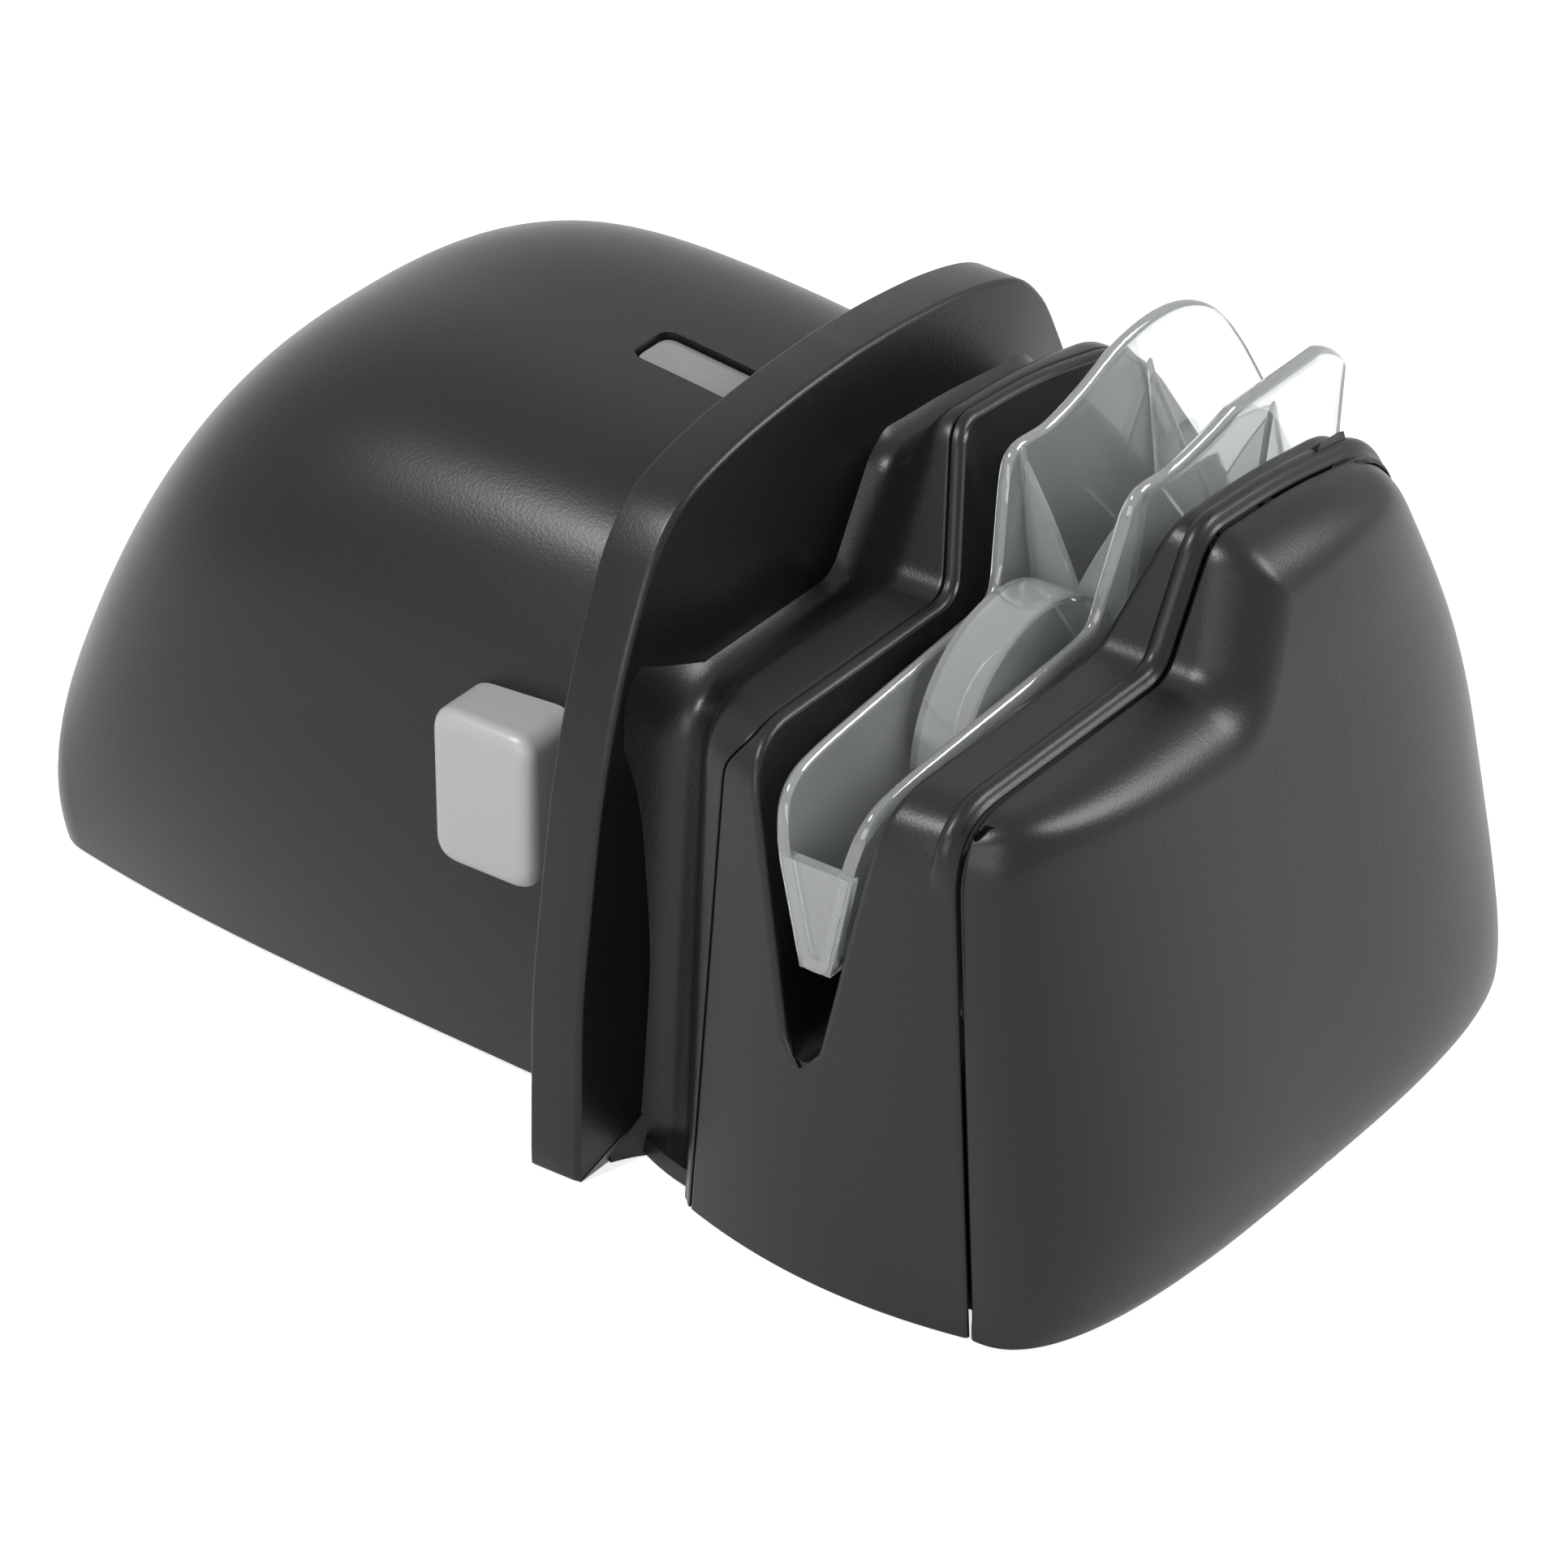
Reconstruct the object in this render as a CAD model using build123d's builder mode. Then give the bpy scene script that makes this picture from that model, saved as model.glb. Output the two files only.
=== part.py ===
"""Battery-powered knife sharpener: palm grip, guard plate and a V-slot grinding head.

Millimetres, +Z up, +X from the grip towards the end cap, the button on the -Y side.
The origin is the bottom centre of the whole product, on the surface it stands on.
"""

import os
from functools import lru_cache
from math import cos, pi, radians, sin

from build123d import *

# ---------------------------------------------------------------- overall
overall_length = 154.0
grip_length = 84.0
guard_thickness = 6.5
neck_length = 12.0
cap_length = 14.8
foot_height = 0.8
wall = 2.0
fit_gap = 0.3
seat_gap = 0.05

x_left = -overall_length / 2
x_right = overall_length / 2
x_guard = x_left + grip_length
x_neck = x_guard + guard_thickness
x_housing = x_neck + neck_length
x_cap = x_right - cap_length
z_shell = foot_height

# ---------------------------------------------------------------- grip
grip_height = 71.0
grip_half_width = 33.4
grip_end_height = 22.5
grip_end_half_width = 27.8
grip_flat_share = 0.40
grip_drop_power = 2.8
grip_plan_power = 9.4
grip_section_power = 4.1
grip_end_section_power = 2.45
grip_end_bulge = 0.2
grip_end_rounding = 5.0
grip_stations = (0.0, 0.2, 0.4, 0.55, 0.7, 0.82, 0.92, 1.0)
grip_section_points = 13

# ---------------------------------------------------------------- guard plate
guard_half_width = 49.7
guard_height = 78.2
guard_waist_half_width = 46.4
guard_waist_height = 35.0
guard_shoulder_half_width = 34.6
guard_shoulder_height = 73.6
guard_corner_radius = 8.0
guard_rim_radius = 1.2

# ---------------------------------------------------------------- head
head_half_width = 48.8
neck_half_width = 41.0
housing_end_half_width = 46.2
low_ledge_height = 59.0
high_ledge_height = 74.6
cap_high_ledge_height = 70.0
neck_drop = 2.6
face_lean = 4.8
front_corner = 8.0
step_foot = -9.0
step_head = -0.5
crest = 13.0
rear_slope_start = 25.0
rear_slope_drop = 4.0
cap_end_half_width = 45.0
cap_plan_power = 3.05
cap_face_lean = 10.0
cap_face_bulge = 2.2
cap_edge_radius = 4.0
housing_seam_lean = 2.7
cap_seam_lean = -5.0

# ---------------------------------------------------------------- knife slots
slot_offset = 16.3
slot_floor_height = 25.5
slot_floor_half_width = 1.7
slot_ledge_half_width = 9.6
slot_mouth_half_width = 13.8
slot_mouth_height = 73.0
slot_cut_height = 90.0
x_slot = x_housing + slot_offset

# ---------------------------------------------------------------- blade guide
guide_floor_height = 34.3
guide_floor_half_width = 1.9
guide_rim_half_width = 6.8
guide_rim_height = 58.0
guide_ear_half_width = 8.9
guide_ear_height = 76.4
guide_wall = 1.3
guide_front = -44.6
guide_front_height = 47.5
guide_rear = 46.0
guide_low_front = -34.8
guide_low_height = 54.0
guide_step_foot = -6.0
guide_step_foot_height = 58.6
guide_step_head = 0.5
guide_step_head_height = 73.0
guide_crest = 25.0
guide_tip = 37.5
guide_tip_height = 73.0
guide_rear_height = 60.0
hood_radius = 15.6
hood_half_width = 3.4
hood_z = 47.0
hood_start_height = 45.0
brace_places = (1.5, 25.0)
brace_thickness = 1.1
brace_dip_height = 58.2
brace_foot_height = 52.0
rib_half_thickness = 0.9
front_rib_start = -36.0
front_rib_length = 6.0
rear_rib_start = 14.0
rear_rib_length = 16.0

# ---------------------------------------------------------------- grinding drive
wheel_y = -9.0
wheel_z = 20.5
wheel_radius = 16.5
wheel_thickness = 5.0
wheel_bevel = 1.2
wheel_gap = 1.2
hub_radius = 6.0
shaft_radius = 2.0
nut_radius = 4.0
nut_length = 3.0
gear_module = 0.8
pinion_teeth = 12
gear_teeth = 38
gear_width = 6.0
gear_axis_angle = 32.0
tooth_share = 0.34
addendum_share = 0.75
dedendum_share = 1.15
motor_radius = 12.0
motor_length = 31.0
end_bell_length = 4.0
motor_boss_radius = 5.0
motor_boss_length = 2.0
motor_screw_spacing = 16.0
motor_screw_radius = 1.2
motor_screw_depth = 3.0
motor_shaft_radius = 1.0
motor_bore_depth = 10.0
bracket_thickness = 2.0
bracket_screw_margin = 3.5
bush_radius = 4.0
bush_length = 4.0
running_gap = 0.04
post_thickness = 3.0
post_half_width = 9.0
post_shaft_gap = 3.0
trough_wall = 1.6

# ---------------------------------------------------------------- battery bay
cell_radius = 7.25
cell_length = 50.5
cell_nub_length = 1.0
cell_pitch = 14.6
cell_count = 4
spring_space = 4.5
contact_thickness = 0.4
tray_wall = 1.2
plate_thickness = 1.8
door_clearance = 0.4
door_border = 0.6
pin_radius = 0.45
pin_reach = 1.2
contact_side = 9.0
cell_spring_radius = 3.4
cell_spring_wire = 0.35
cell_spring_turns = 3

# ---------------------------------------------------------------- button and switch
button_width = 13.0
button_tall = 17.2
button_from_guard = 10.5
button_z = 38.2
button_face_y = -42.6
button_rounding = 1.6
button_corner = 2.6
button_gap = 0.5
button_travel = 2.5
button_back_y = -28.9
button_border = 1.6
button_flange = 1.5
spring_radius = 4.2
spring_wire = 0.4
spring_turns = 3
board_thickness = 1.6
board_face_y = -17.6
board_width = 16.0
board_tall = 36.0
switch_side = 12.0
switch_depth = 4.0
plunger_radius = 2.0

# ---------------------------------------------------------------- window
window_width = 5.4
window_length = 15.0
window_from_guard = 5.0
window_depth = 1.0
window_thickness = 2.0
window_flange = 1.6
led_radius = 2.5
led_height = 5.0
led_board_thickness = 1.2

# ---------------------------------------------------------------- fixings
screw_radius = 1.5
screw_head_ratio = 1.8
screw_head_height = 1.2
screw_sink = 1.0
screw_length = 6.0
boss_radius = 3.6
foot_radius = 5.0
foot_recess = 0.8


# ================================================================ shared shapes
def grip_size(share):
    """Half-width, height and section power of the grip at a share of its length from the guard."""
    drop = max(0.0, (share - grip_flat_share) / (1 - grip_flat_share))
    height = grip_end_height + (grip_height - grip_end_height) * (1 - drop**grip_drop_power)
    narrowing = 1 - share**grip_plan_power
    half_width = grip_end_half_width + (grip_half_width - grip_end_half_width) * narrowing
    power = grip_section_power + (grip_end_section_power - grip_section_power) * share
    return half_width, height, power


def grip_half_width_at(x, z, inset=0.0):
    """Half-width of the grip at one length and height."""
    share = (x_guard - x) / grip_length
    half_width, height, power = grip_size(share)
    reach = (1 - ((z - z_shell) / (height - inset - z_shell)) ** power) ** (1 / power)
    return (half_width - inset + grip_end_bulge * share * z) * reach


def grip_height_at(x, y, inset=0.0):
    """Height of the grip at one length and distance from the middle."""
    half_width, height, power = grip_size((x_guard - x) / grip_length)
    rise = (1 - (abs(y) / (half_width - inset)) ** power) ** (1 / power)
    return z_shell + (height - inset - z_shell) * rise


@lru_cache
def grip_envelope(inset):
    """Closed grip shape, drawn in from its outer surface by the inset."""
    length = grip_length - inset
    with BuildPart() as envelope:
        for share in grip_stations:
            half_width, height, power = grip_size(share)
            points = []
            for step in range(grip_section_points):
                angle = pi * step / (grip_section_points - 1)
                rise = max(0.0, sin(angle)) ** (2 / power)
                side = abs(cos(angle)) ** (2 / power) * (1 if angle < pi / 2 else -1)
                z = z_shell + (height - inset - z_shell) * rise
                points.append(((half_width - inset + grip_end_bulge * share * (z - z_shell)) * side, z))
            with BuildSketch(Plane.YZ.offset(x_guard - length * share)):
                with BuildLine():
                    arch = Spline(*points)
                    Line(arch @ 1, arch @ 0)
                make_face()
        loft()
    return envelope.part


def head_size(x):
    """Half-width, low ledge and high ledge of the head at one length."""
    if x <= x_housing:
        blend = 0.5 - 0.5 * cos(pi * (x - x_guard) / (x_housing - x_guard))
        half_width = neck_half_width + (head_half_width - face_lean / 2 - neck_half_width) * blend
        drop = neck_drop * (1 - blend)
        return half_width, low_ledge_height - drop, high_ledge_height - drop
    along = min(1.0, (x - x_housing) / (x_cap - x_housing))
    side = head_half_width - face_lean / 2
    side += (housing_end_half_width - side) * along
    half_width = side + (head_half_width - side) * 4 * along * (1 - along)
    if x > x_cap:
        half_width += (cap_end_half_width - housing_end_half_width) * (x - x_cap) / cap_length
    return half_width, low_ledge_height, high_ledge_height + (cap_high_ledge_height - high_ledge_height) * along


def cap_face_body(inset):
    """Everything to the left of the end cap's convex, leaning face."""
    nose = cap_length - inset
    plan = []
    for step in range(-6, 7):
        side = sin(pi * step / 12)
        reach = (1 - abs(side) ** cap_plan_power) ** (1 / 2)
        plan.append((x_cap + nose * reach, (housing_end_half_width - inset) * side))
    profile = []
    for step in range(5):
        rise = step / 4
        set_back = high_ledge_height * rise * sin(radians(cap_face_lean))
        bulge = cap_face_bulge * 4 * rise * (1 - rise)
        profile.append((x_right - inset - set_back + bulge * rise, z_shell + high_ledge_height * rise))
    with BuildPart() as body:
        with BuildSketch(Plane.XY):
            with BuildLine():
                nose_line = Spline(*plan)
                Polyline(
                    nose_line @ 1,
                    (x_cap - cap_length, guard_half_width),
                    (x_guard, guard_half_width),
                    (x_guard, -guard_half_width),
                    (x_cap - cap_length, -guard_half_width),
                    nose_line @ 0,
                )
            make_face()
        extrude(amount=guard_height)
        with BuildSketch(Plane.XZ):
            with BuildLine():
                face_line = Spline(*profile)
                Polyline(
                    face_line @ 1,
                    (x_guard, z_shell + high_ledge_height),
                    (x_guard, z_shell),
                    face_line @ 0,
                )
            make_face()
        extrude(amount=guard_half_width, both=True, mode=Mode.INTERSECT)
    return body.part


@lru_cache
def head_envelope(inset):
    """Closed shape of neck, wheel housing and end cap, drawn in by the inset."""
    neck_x = [x_guard + guard_thickness / 2 + neck_length * step / 3 for step in range(3)]
    housing_x = [x_housing + (x_cap - x_housing) * step / 3 for step in range(4)]
    with BuildPart() as envelope:
        for x in neck_x + housing_x + [x_right + wall]:
            half_width, low, high = head_size(x)
            low -= inset
            high -= inset
            b = half_width - inset
            outline = [
                (-b, z_shell),
                (-b + face_lean * 0.4, 0.42 * low),
                (-b + face_lean * 0.9, low - 1.4 * front_corner),
                (-b + face_lean + front_corner * 0.3, low - 0.45 * front_corner),
                (-b + face_lean + front_corner, low),
                (step_foot * 2.2, low),
                (step_foot, low),
                ((step_foot + step_head) / 2, (low + high) / 2),
                (step_head, high),
                (crest, high),
                (rear_slope_start, high - rear_slope_drop),
                (b - face_lean - front_corner * 0.5, 0.82 * high),
                (b - face_lean * 0.6, 0.55 * high),
                (b, z_shell),
            ]
            with BuildSketch(Plane.YZ.offset(x)):
                with BuildLine():
                    skin = Spline(*outline)
                    Line(skin @ 1, skin @ 0)
                make_face()
        loft()
        add(cap_face_body(inset), mode=Mode.INTERSECT)
        if inset == 0:
            nose_edges = envelope.edges().filter_by(lambda edge: edge.center().X > x_cap - cap_length)
            fillet(nose_edges.filter_by(lambda edge: edge.center().Z > 0.5 * low_ledge_height), cap_edge_radius)
    return envelope.part


def seam_plane(x, lean):
    """Leaning plane through a seam between two head pieces, facing +X."""
    return Plane(origin=(x, 0, 0), x_dir=(0, 1, 0), z_dir=(cos(radians(lean)), 0, -sin(radians(lean))))


def head_slice(start, end, inset):
    """Head shape between two planes, either of which may be left out."""
    with BuildPart() as piece:
        add(head_envelope(inset))
        if start:
            split(bisect_by=start, keep=Keep.TOP)
        if end:
            split(bisect_by=end, keep=Keep.BOTTOM)
    return piece.part


def slot_body(outset):
    """V-shaped body of the two knife slots, running from front to rear."""
    floor = slot_floor_height - outset
    with BuildPart() as slot:
        with BuildSketch(Plane.XZ):
            with BuildLine():
                right = [
                    (x_slot + slot_floor_half_width + outset, floor),
                    (x_slot + slot_ledge_half_width + outset, low_ledge_height),
                    (x_slot + slot_mouth_half_width + outset, slot_mouth_height),
                    (x_slot + slot_mouth_half_width + outset, slot_cut_height),
                ]
                left = [(2 * x_slot - x, z) for x, z in reversed(right)]
                Polyline(*right, *left, close=True)
            make_face()
        extrude(amount=guard_half_width + wall, both=True)
    return slot.part


def wheel_chamber(radius, half_width):
    """Round room about the grinding wheel."""
    with BuildPart() as chamber:
        with BuildSketch(Plane.YZ.offset(x_slot)):
            with Locations((wheel_y, wheel_z)):
                Circle(radius)
        extrude(amount=half_width, both=True)
    return chamber.part


def save(piece, label):
    """Label a finished piece and write its STEP file."""
    piece.part.label = label
    export_step(piece.part, f"parts/{label}.step")


# ================================================================ places worked out from the sizes
centre_distance = gear_module * (pinion_teeth + gear_teeth) / 2
motor_y = wheel_y + centre_distance * sin(radians(gear_axis_angle))
motor_z = wheel_z + centre_distance * cos(radians(gear_axis_angle))
bracket_x = x_guard - bracket_thickness
gear_x = x_guard + motor_boss_length + fit_gap
post_x = x_slot + wheel_thickness / 2 + nut_length + post_shaft_gap
button_x = x_guard - button_from_guard
plate_top = z_shell + plate_thickness
cell_z = plate_top + door_clearance + cell_radius
tray_length = cell_length + spring_space + 2 * contact_thickness + cell_nub_length
tray_right = bracket_x - tray_wall - fit_gap
tray_left = tray_right - tray_length
tray_half_width = cell_pitch * cell_count / 2
tray_roof = cell_z + cell_radius + fit_gap
door_half_width = tray_half_width - door_border
hinge_x = tray_left + plate_thickness / 2
hinge_z = z_shell + plate_thickness / 2
window_x = x_guard - window_from_guard - window_length / 2
window_top = grip_height - window_depth
window_foot = grip_height - wall - fit_gap - window_thickness / 2
led_foot = window_foot - led_height
cell_rows = [cell_pitch * (row - (cell_count - 1) / 2) for row in range(cell_count)]
base_screw_places = [(tray_left - tray_wall - boss_radius, side * 14.0) for side in (-1, 1)]
head_screw_places = [(x_slot + along, side * 36.0) for along in (-8.0, 9.0) for side in (-1, 1)]
foot_places = [(tray_left - tray_wall - 2 * foot_radius + 2.0, side * 23.0) for side in (-1, 1)]
foot_places += [(x_slot + 1.0, side * 29.0) for side in (-1, 1)]
board_screw_places = [(button_x, button_z + side * (board_tall / 2 - 3.0)) for side in (-1, 1)]
bracket_low = plate_top + fit_gap
bracket_top = motor_z + motor_radius + 1.5
gear_room_front = wheel_y - gear_module * (gear_teeth / 2 + 1) - 1.0
gear_room_rear = motor_y + motor_screw_spacing / 2 + 2 * screw_head_ratio
gear_room_top = motor_z + gear_module * (pinion_teeth / 2 + 1)
bracket_front = gear_room_front - 2.4
bracket_rear = gear_room_rear + 7.0
pressed_button_back = button_back_y + button_flange + button_travel
bracket_screw_places = [
    (pressed_button_back + screw_radius * screw_head_ratio + 2 * fit_gap, bracket_top - bracket_screw_margin),
    (bracket_rear - bracket_screw_margin, bracket_top - bracket_screw_margin),
    (bracket_rear - bracket_screw_margin, tray_roof + tray_wall + 5.0),
]
motor_screw_places = [(motor_y + side * motor_screw_spacing / 2, motor_z) for side in (-1, 1)]
housing_seam = seam_plane(x_housing, housing_seam_lean)
cap_seam = seam_plane(x_cap, cap_seam_lean)


# ================================================================ fixed shells
def build_grip_shell():
    """Palm grip: a thin shell with a button hole, a window slot and posts for the board and screws."""
    with BuildPart() as grip_shell:
        add(grip_envelope(0.0))
        end_edges = grip_shell.faces().sort_by(Axis.X)[0].edges().sort_by(Axis.Z)[1:]
        fillet(end_edges, grip_end_rounding)
        add(grip_envelope(wall), mode=Mode.SUBTRACT)
        for x, z in board_screw_places:
            with BuildSketch(Plane.XZ.offset(-board_face_y)):
                with Locations((x, z)):
                    Circle(boss_radius)
            extrude(amount=grip_half_width_at(x, z + boss_radius, wall / 2) + board_face_y)
        for x, y in base_screw_places:
            with BuildSketch(Plane.XY.offset(plate_top)):
                with Locations((x, y)):
                    Circle(boss_radius)
            extrude(amount=grip_height_at(x - boss_radius, abs(y) + boss_radius, wall / 2) - plate_top)
        with BuildSketch(Plane.XZ.offset(-board_face_y)):
            with Locations(*board_screw_places):
                Circle(screw_radius)
        extrude(amount=screw_length, mode=Mode.SUBTRACT)
        with BuildSketch(Plane.XZ.offset(-button_back_y)):
            with Locations((button_x, button_z)):
                RectangleRounded(button_width + 2 * button_gap, button_tall + 2 * button_gap, button_corner)
        extrude(amount=grip_half_width, mode=Mode.SUBTRACT)
        with BuildSketch(Plane.XY.offset(window_foot)):
            with Locations((window_x, 0)):
                SlotOverall(window_length + 2 * seat_gap, window_width + 2 * seat_gap)
        extrude(amount=grip_height, mode=Mode.SUBTRACT)
        with BuildSketch(Plane.XY.offset(plate_top)):
            with Locations(*base_screw_places):
                Circle(screw_radius)
        extrude(amount=screw_length, mode=Mode.SUBTRACT)
    return grip_shell


def build_guard_body():
    """Guard plate with the neck and the left shoulder of the head, open below and towards the head."""
    with BuildPart() as guard_body:
        with BuildSketch(Plane.YZ.offset(x_guard)) as outline:
            with BuildLine():
                base = Line((-guard_half_width, z_shell), (guard_half_width, z_shell))
                rear = ThreePointArc(
                    base @ 1,
                    (guard_waist_half_width, guard_waist_height),
                    (guard_shoulder_half_width, guard_shoulder_height),
                )
                top = ThreePointArc(
                    rear @ 1,
                    (0, guard_height),
                    (-guard_shoulder_half_width, guard_shoulder_height),
                )
                ThreePointArc(top @ 1, (-guard_waist_half_width, guard_waist_height), base @ 0)
            make_face()
            fillet(outline.vertices().sort_by(Axis.Z)[-2:], guard_corner_radius)
        extrude(amount=guard_thickness)
        rim = guard_body.edges().filter_by(lambda edge: edge.bounding_box().max.Z > plate_top)
        fillet(rim.filter_by(lambda edge: edge.bounding_box().size.X < seat_gap), guard_rim_radius)
        add(head_slice(Plane.YZ.offset(x_neck - guard_rim_radius), housing_seam, 0.0))
        add(head_slice(Plane.YZ.offset(x_neck), housing_seam, wall), mode=Mode.SUBTRACT)
        add(slot_body(trough_wall), mode=Mode.SUBTRACT)
        with BuildSketch(Plane.YZ.offset(x_guard)):
            with BuildLine():
                Polyline(
                    (gear_room_front, z_shell),
                    (gear_room_rear, z_shell),
                    (gear_room_rear, gear_room_top),
                    (gear_room_front, gear_room_top),
                    close=True,
                )
            make_face()
        extrude(amount=guard_thickness, mode=Mode.SUBTRACT)
        with BuildSketch(Plane.YZ.offset(x_guard)):
            with Locations(*bracket_screw_places):
                Circle(screw_radius)
        extrude(amount=screw_length - bracket_thickness, mode=Mode.SUBTRACT)
    return guard_body


def build_wheel_housing():
    """Middle of the head: front and rear skins, ledges, the slot trough and its guide ribs."""
    with BuildPart() as wheel_housing:
        add(head_slice(housing_seam, cap_seam, 0.0))
        add(head_slice(housing_seam, cap_seam, wall), mode=Mode.SUBTRACT)
        with BuildPart(mode=Mode.PRIVATE) as trough:
            add(head_slice(None, None, 0.0))
            add(slot_body(trough_wall), mode=Mode.INTERSECT)
        add(trough.part)
        with BuildSketch(Plane.XY.offset(plate_top)):
            with Locations(*head_screw_places):
                Circle(boss_radius)
        extrude(amount=low_ledge_height - plate_top - wall)
        add(slot_body(0.0), mode=Mode.SUBTRACT)
        for start, length in ((front_rib_start, front_rib_length), (rear_rib_start, rear_rib_length)):
            with BuildSketch(Plane.XY.offset(slot_floor_height - seat_gap)):
                with Locations((x_slot, start + length / 2)):
                    Rectangle(2 * rib_half_thickness, length)
            extrude(amount=guide_floor_height - fit_gap - slot_floor_height)
        add(wheel_chamber(wheel_radius + wheel_gap, wheel_thickness / 2 + wheel_gap), mode=Mode.SUBTRACT)
        with BuildSketch(Plane.XY.offset(plate_top)):
            with Locations(*head_screw_places):
                Circle(screw_radius)
        extrude(amount=screw_length, mode=Mode.SUBTRACT)
    return wheel_housing


def build_end_cap():
    """Pull-off end cap with a rounded nose, open towards the wheel housing."""
    opening = cap_seam.offset(fit_gap)
    with BuildPart() as end_cap:
        add(head_slice(opening, None, 0.0))
        add(head_slice(None, None, wall), mode=Mode.SUBTRACT)
        add(slot_body(trough_wall + fit_gap), mode=Mode.SUBTRACT)
    return end_cap


def build_blade_guide():
    """Clear V guide with two blade walls, rear ears, braces and a hood over the grinding wheel."""
    depth = guide_ear_height - guide_floor_height
    with BuildPart() as blade_guide:
        for inset in (0.0, guide_wall):
            right = [
                (x_slot + guide_floor_half_width - inset * 0.6, guide_floor_height + inset),
                (x_slot + guide_rim_half_width - inset, guide_rim_height),
                (x_slot + guide_ear_half_width - inset, guide_ear_height + inset),
            ]
            left = [(2 * x_slot - x, z) for x, z in reversed(right)]
            with BuildSketch(Plane.XZ):
                with BuildLine():
                    Polyline(*right, *left, close=True)
                make_face()
            extrude(amount=guard_half_width, both=True, mode=Mode.SUBTRACT if inset else Mode.ADD)
        with BuildSketch(Plane.YZ.offset(x_slot)):
            with Locations((wheel_y, hood_z)):
                Circle(hood_radius)
                Circle(hood_radius - guide_wall, mode=Mode.SUBTRACT)
            with Locations((wheel_y, hood_start_height - hood_radius)):
                Rectangle(2 * hood_radius, 2 * hood_radius, mode=Mode.SUBTRACT)
        extrude(amount=hood_half_width, both=True)
        for y in brace_places:
            with BuildSketch(Plane.XZ.offset(-y)):
                with BuildLine():
                    Polyline(
                        (x_slot - guide_ear_half_width + guide_wall / 2, guide_step_head_height),
                        (x_slot, brace_dip_height),
                        (x_slot + guide_ear_half_width - guide_wall / 2, guide_step_head_height),
                        (x_slot + guide_rim_half_width - guide_wall / 2, guide_rim_height),
                        (x_slot, brace_foot_height),
                        (x_slot - guide_rim_half_width + guide_wall / 2, guide_rim_height),
                        close=True,
                    )
                make_face()
            extrude(amount=brace_thickness / 2, both=True)
        with BuildSketch(Plane.YZ.offset(x_slot)):
            with BuildLine():
                Polyline(
                    (guide_low_front, guide_low_height),
                    (guide_front, guide_front_height),
                    (guide_front, guide_floor_height),
                    (guide_rear, guide_floor_height),
                    (guide_rear, guide_rear_height),
                    (guide_tip, guide_tip_height),
                )
                Spline(
                    (guide_tip, guide_tip_height),
                    (guide_crest, guide_floor_height + depth),
                    (guide_step_head + 4.0, guide_step_head_height),
                )
                Polyline(
                    (guide_step_head + 4.0, guide_step_head_height),
                    (guide_step_head, guide_step_head_height),
                    (guide_step_foot, guide_step_foot_height),
                    (guide_low_front, guide_low_height),
                )
            make_face()
        extrude(amount=guide_ear_half_width + guide_wall, both=True, mode=Mode.INTERSECT)
        add(wheel_chamber(wheel_radius + wheel_gap, slot_mouth_half_width), mode=Mode.SUBTRACT)
    return blade_guide


def build_base_plate():
    """Floor of the grip, with the door opening, the pin bores, screw holes and foot recesses."""
    with BuildPart() as base_plate:
        add(grip_envelope(wall + fit_gap))
        split(bisect_by=Plane.XY.offset(plate_top), keep=Keep.BOTTOM)
        with BuildSketch(Plane.XY.offset(z_shell)):
            with Locations(((tray_left + tray_right) / 2, 0)):
                Rectangle(tray_length + 2 * fit_gap, 2 * (door_half_width + fit_gap))
            with Locations(*base_screw_places):
                Circle(screw_radius)
        extrude(amount=plate_thickness, mode=Mode.SUBTRACT)
        with BuildSketch(Plane.XY.offset(z_shell)):
            with Locations(*base_screw_places):
                Circle(screw_radius * screw_head_ratio)
        extrude(amount=screw_sink, mode=Mode.SUBTRACT)
        with BuildSketch(Plane.XY.offset(z_shell)):
            with Locations(*foot_places[:2]):
                Circle(foot_radius)
        extrude(amount=foot_recess, mode=Mode.SUBTRACT)
        with BuildSketch(Plane.XZ):
            with Locations((hinge_x, hinge_z)):
                Circle(pin_radius)
        extrude(amount=door_half_width + fit_gap + pin_reach, both=True, mode=Mode.SUBTRACT)
    return base_plate


def build_head_base():
    """Floor of the neck and the wheel housing."""
    with BuildPart() as head_base:
        add(head_envelope(wall + fit_gap))
        split(bisect_by=Plane.XY.offset(plate_top), keep=Keep.BOTTOM)
        split(bisect_by=Plane.YZ.offset(x_neck + fit_gap), keep=Keep.TOP)
        split(bisect_by=cap_seam.offset(-wall), keep=Keep.BOTTOM)
        with BuildSketch(Plane.XY.offset(z_shell)):
            with Locations(*head_screw_places):
                Circle(screw_radius)
        extrude(amount=plate_thickness, mode=Mode.SUBTRACT)
        with BuildSketch(Plane.XY.offset(z_shell)):
            with Locations(*head_screw_places):
                Circle(screw_radius * screw_head_ratio)
        extrude(amount=screw_sink, mode=Mode.SUBTRACT)
        with BuildSketch(Plane.XY.offset(z_shell)):
            with Locations(*foot_places[2:]):
                Circle(foot_radius)
        extrude(amount=foot_recess, mode=Mode.SUBTRACT)
    return head_base


# ================================================================ battery bay
def build_battery_door():
    """Door under the cells, rounded along its hinge edge and bored for the pin."""
    with BuildPart() as battery_door:
        with BuildSketch(Plane.XZ):
            with BuildLine():
                lower = Line((tray_right, z_shell), (hinge_x, z_shell))
                edge = ThreePointArc(lower @ 1, (tray_left, hinge_z), (hinge_x, plate_top))
                Polyline(edge @ 1, (tray_right, plate_top), lower @ 0)
            make_face()
            with Locations((hinge_x, hinge_z)):
                Circle(pin_radius + running_gap, mode=Mode.SUBTRACT)
        extrude(amount=door_half_width, both=True)
    return battery_door


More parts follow.
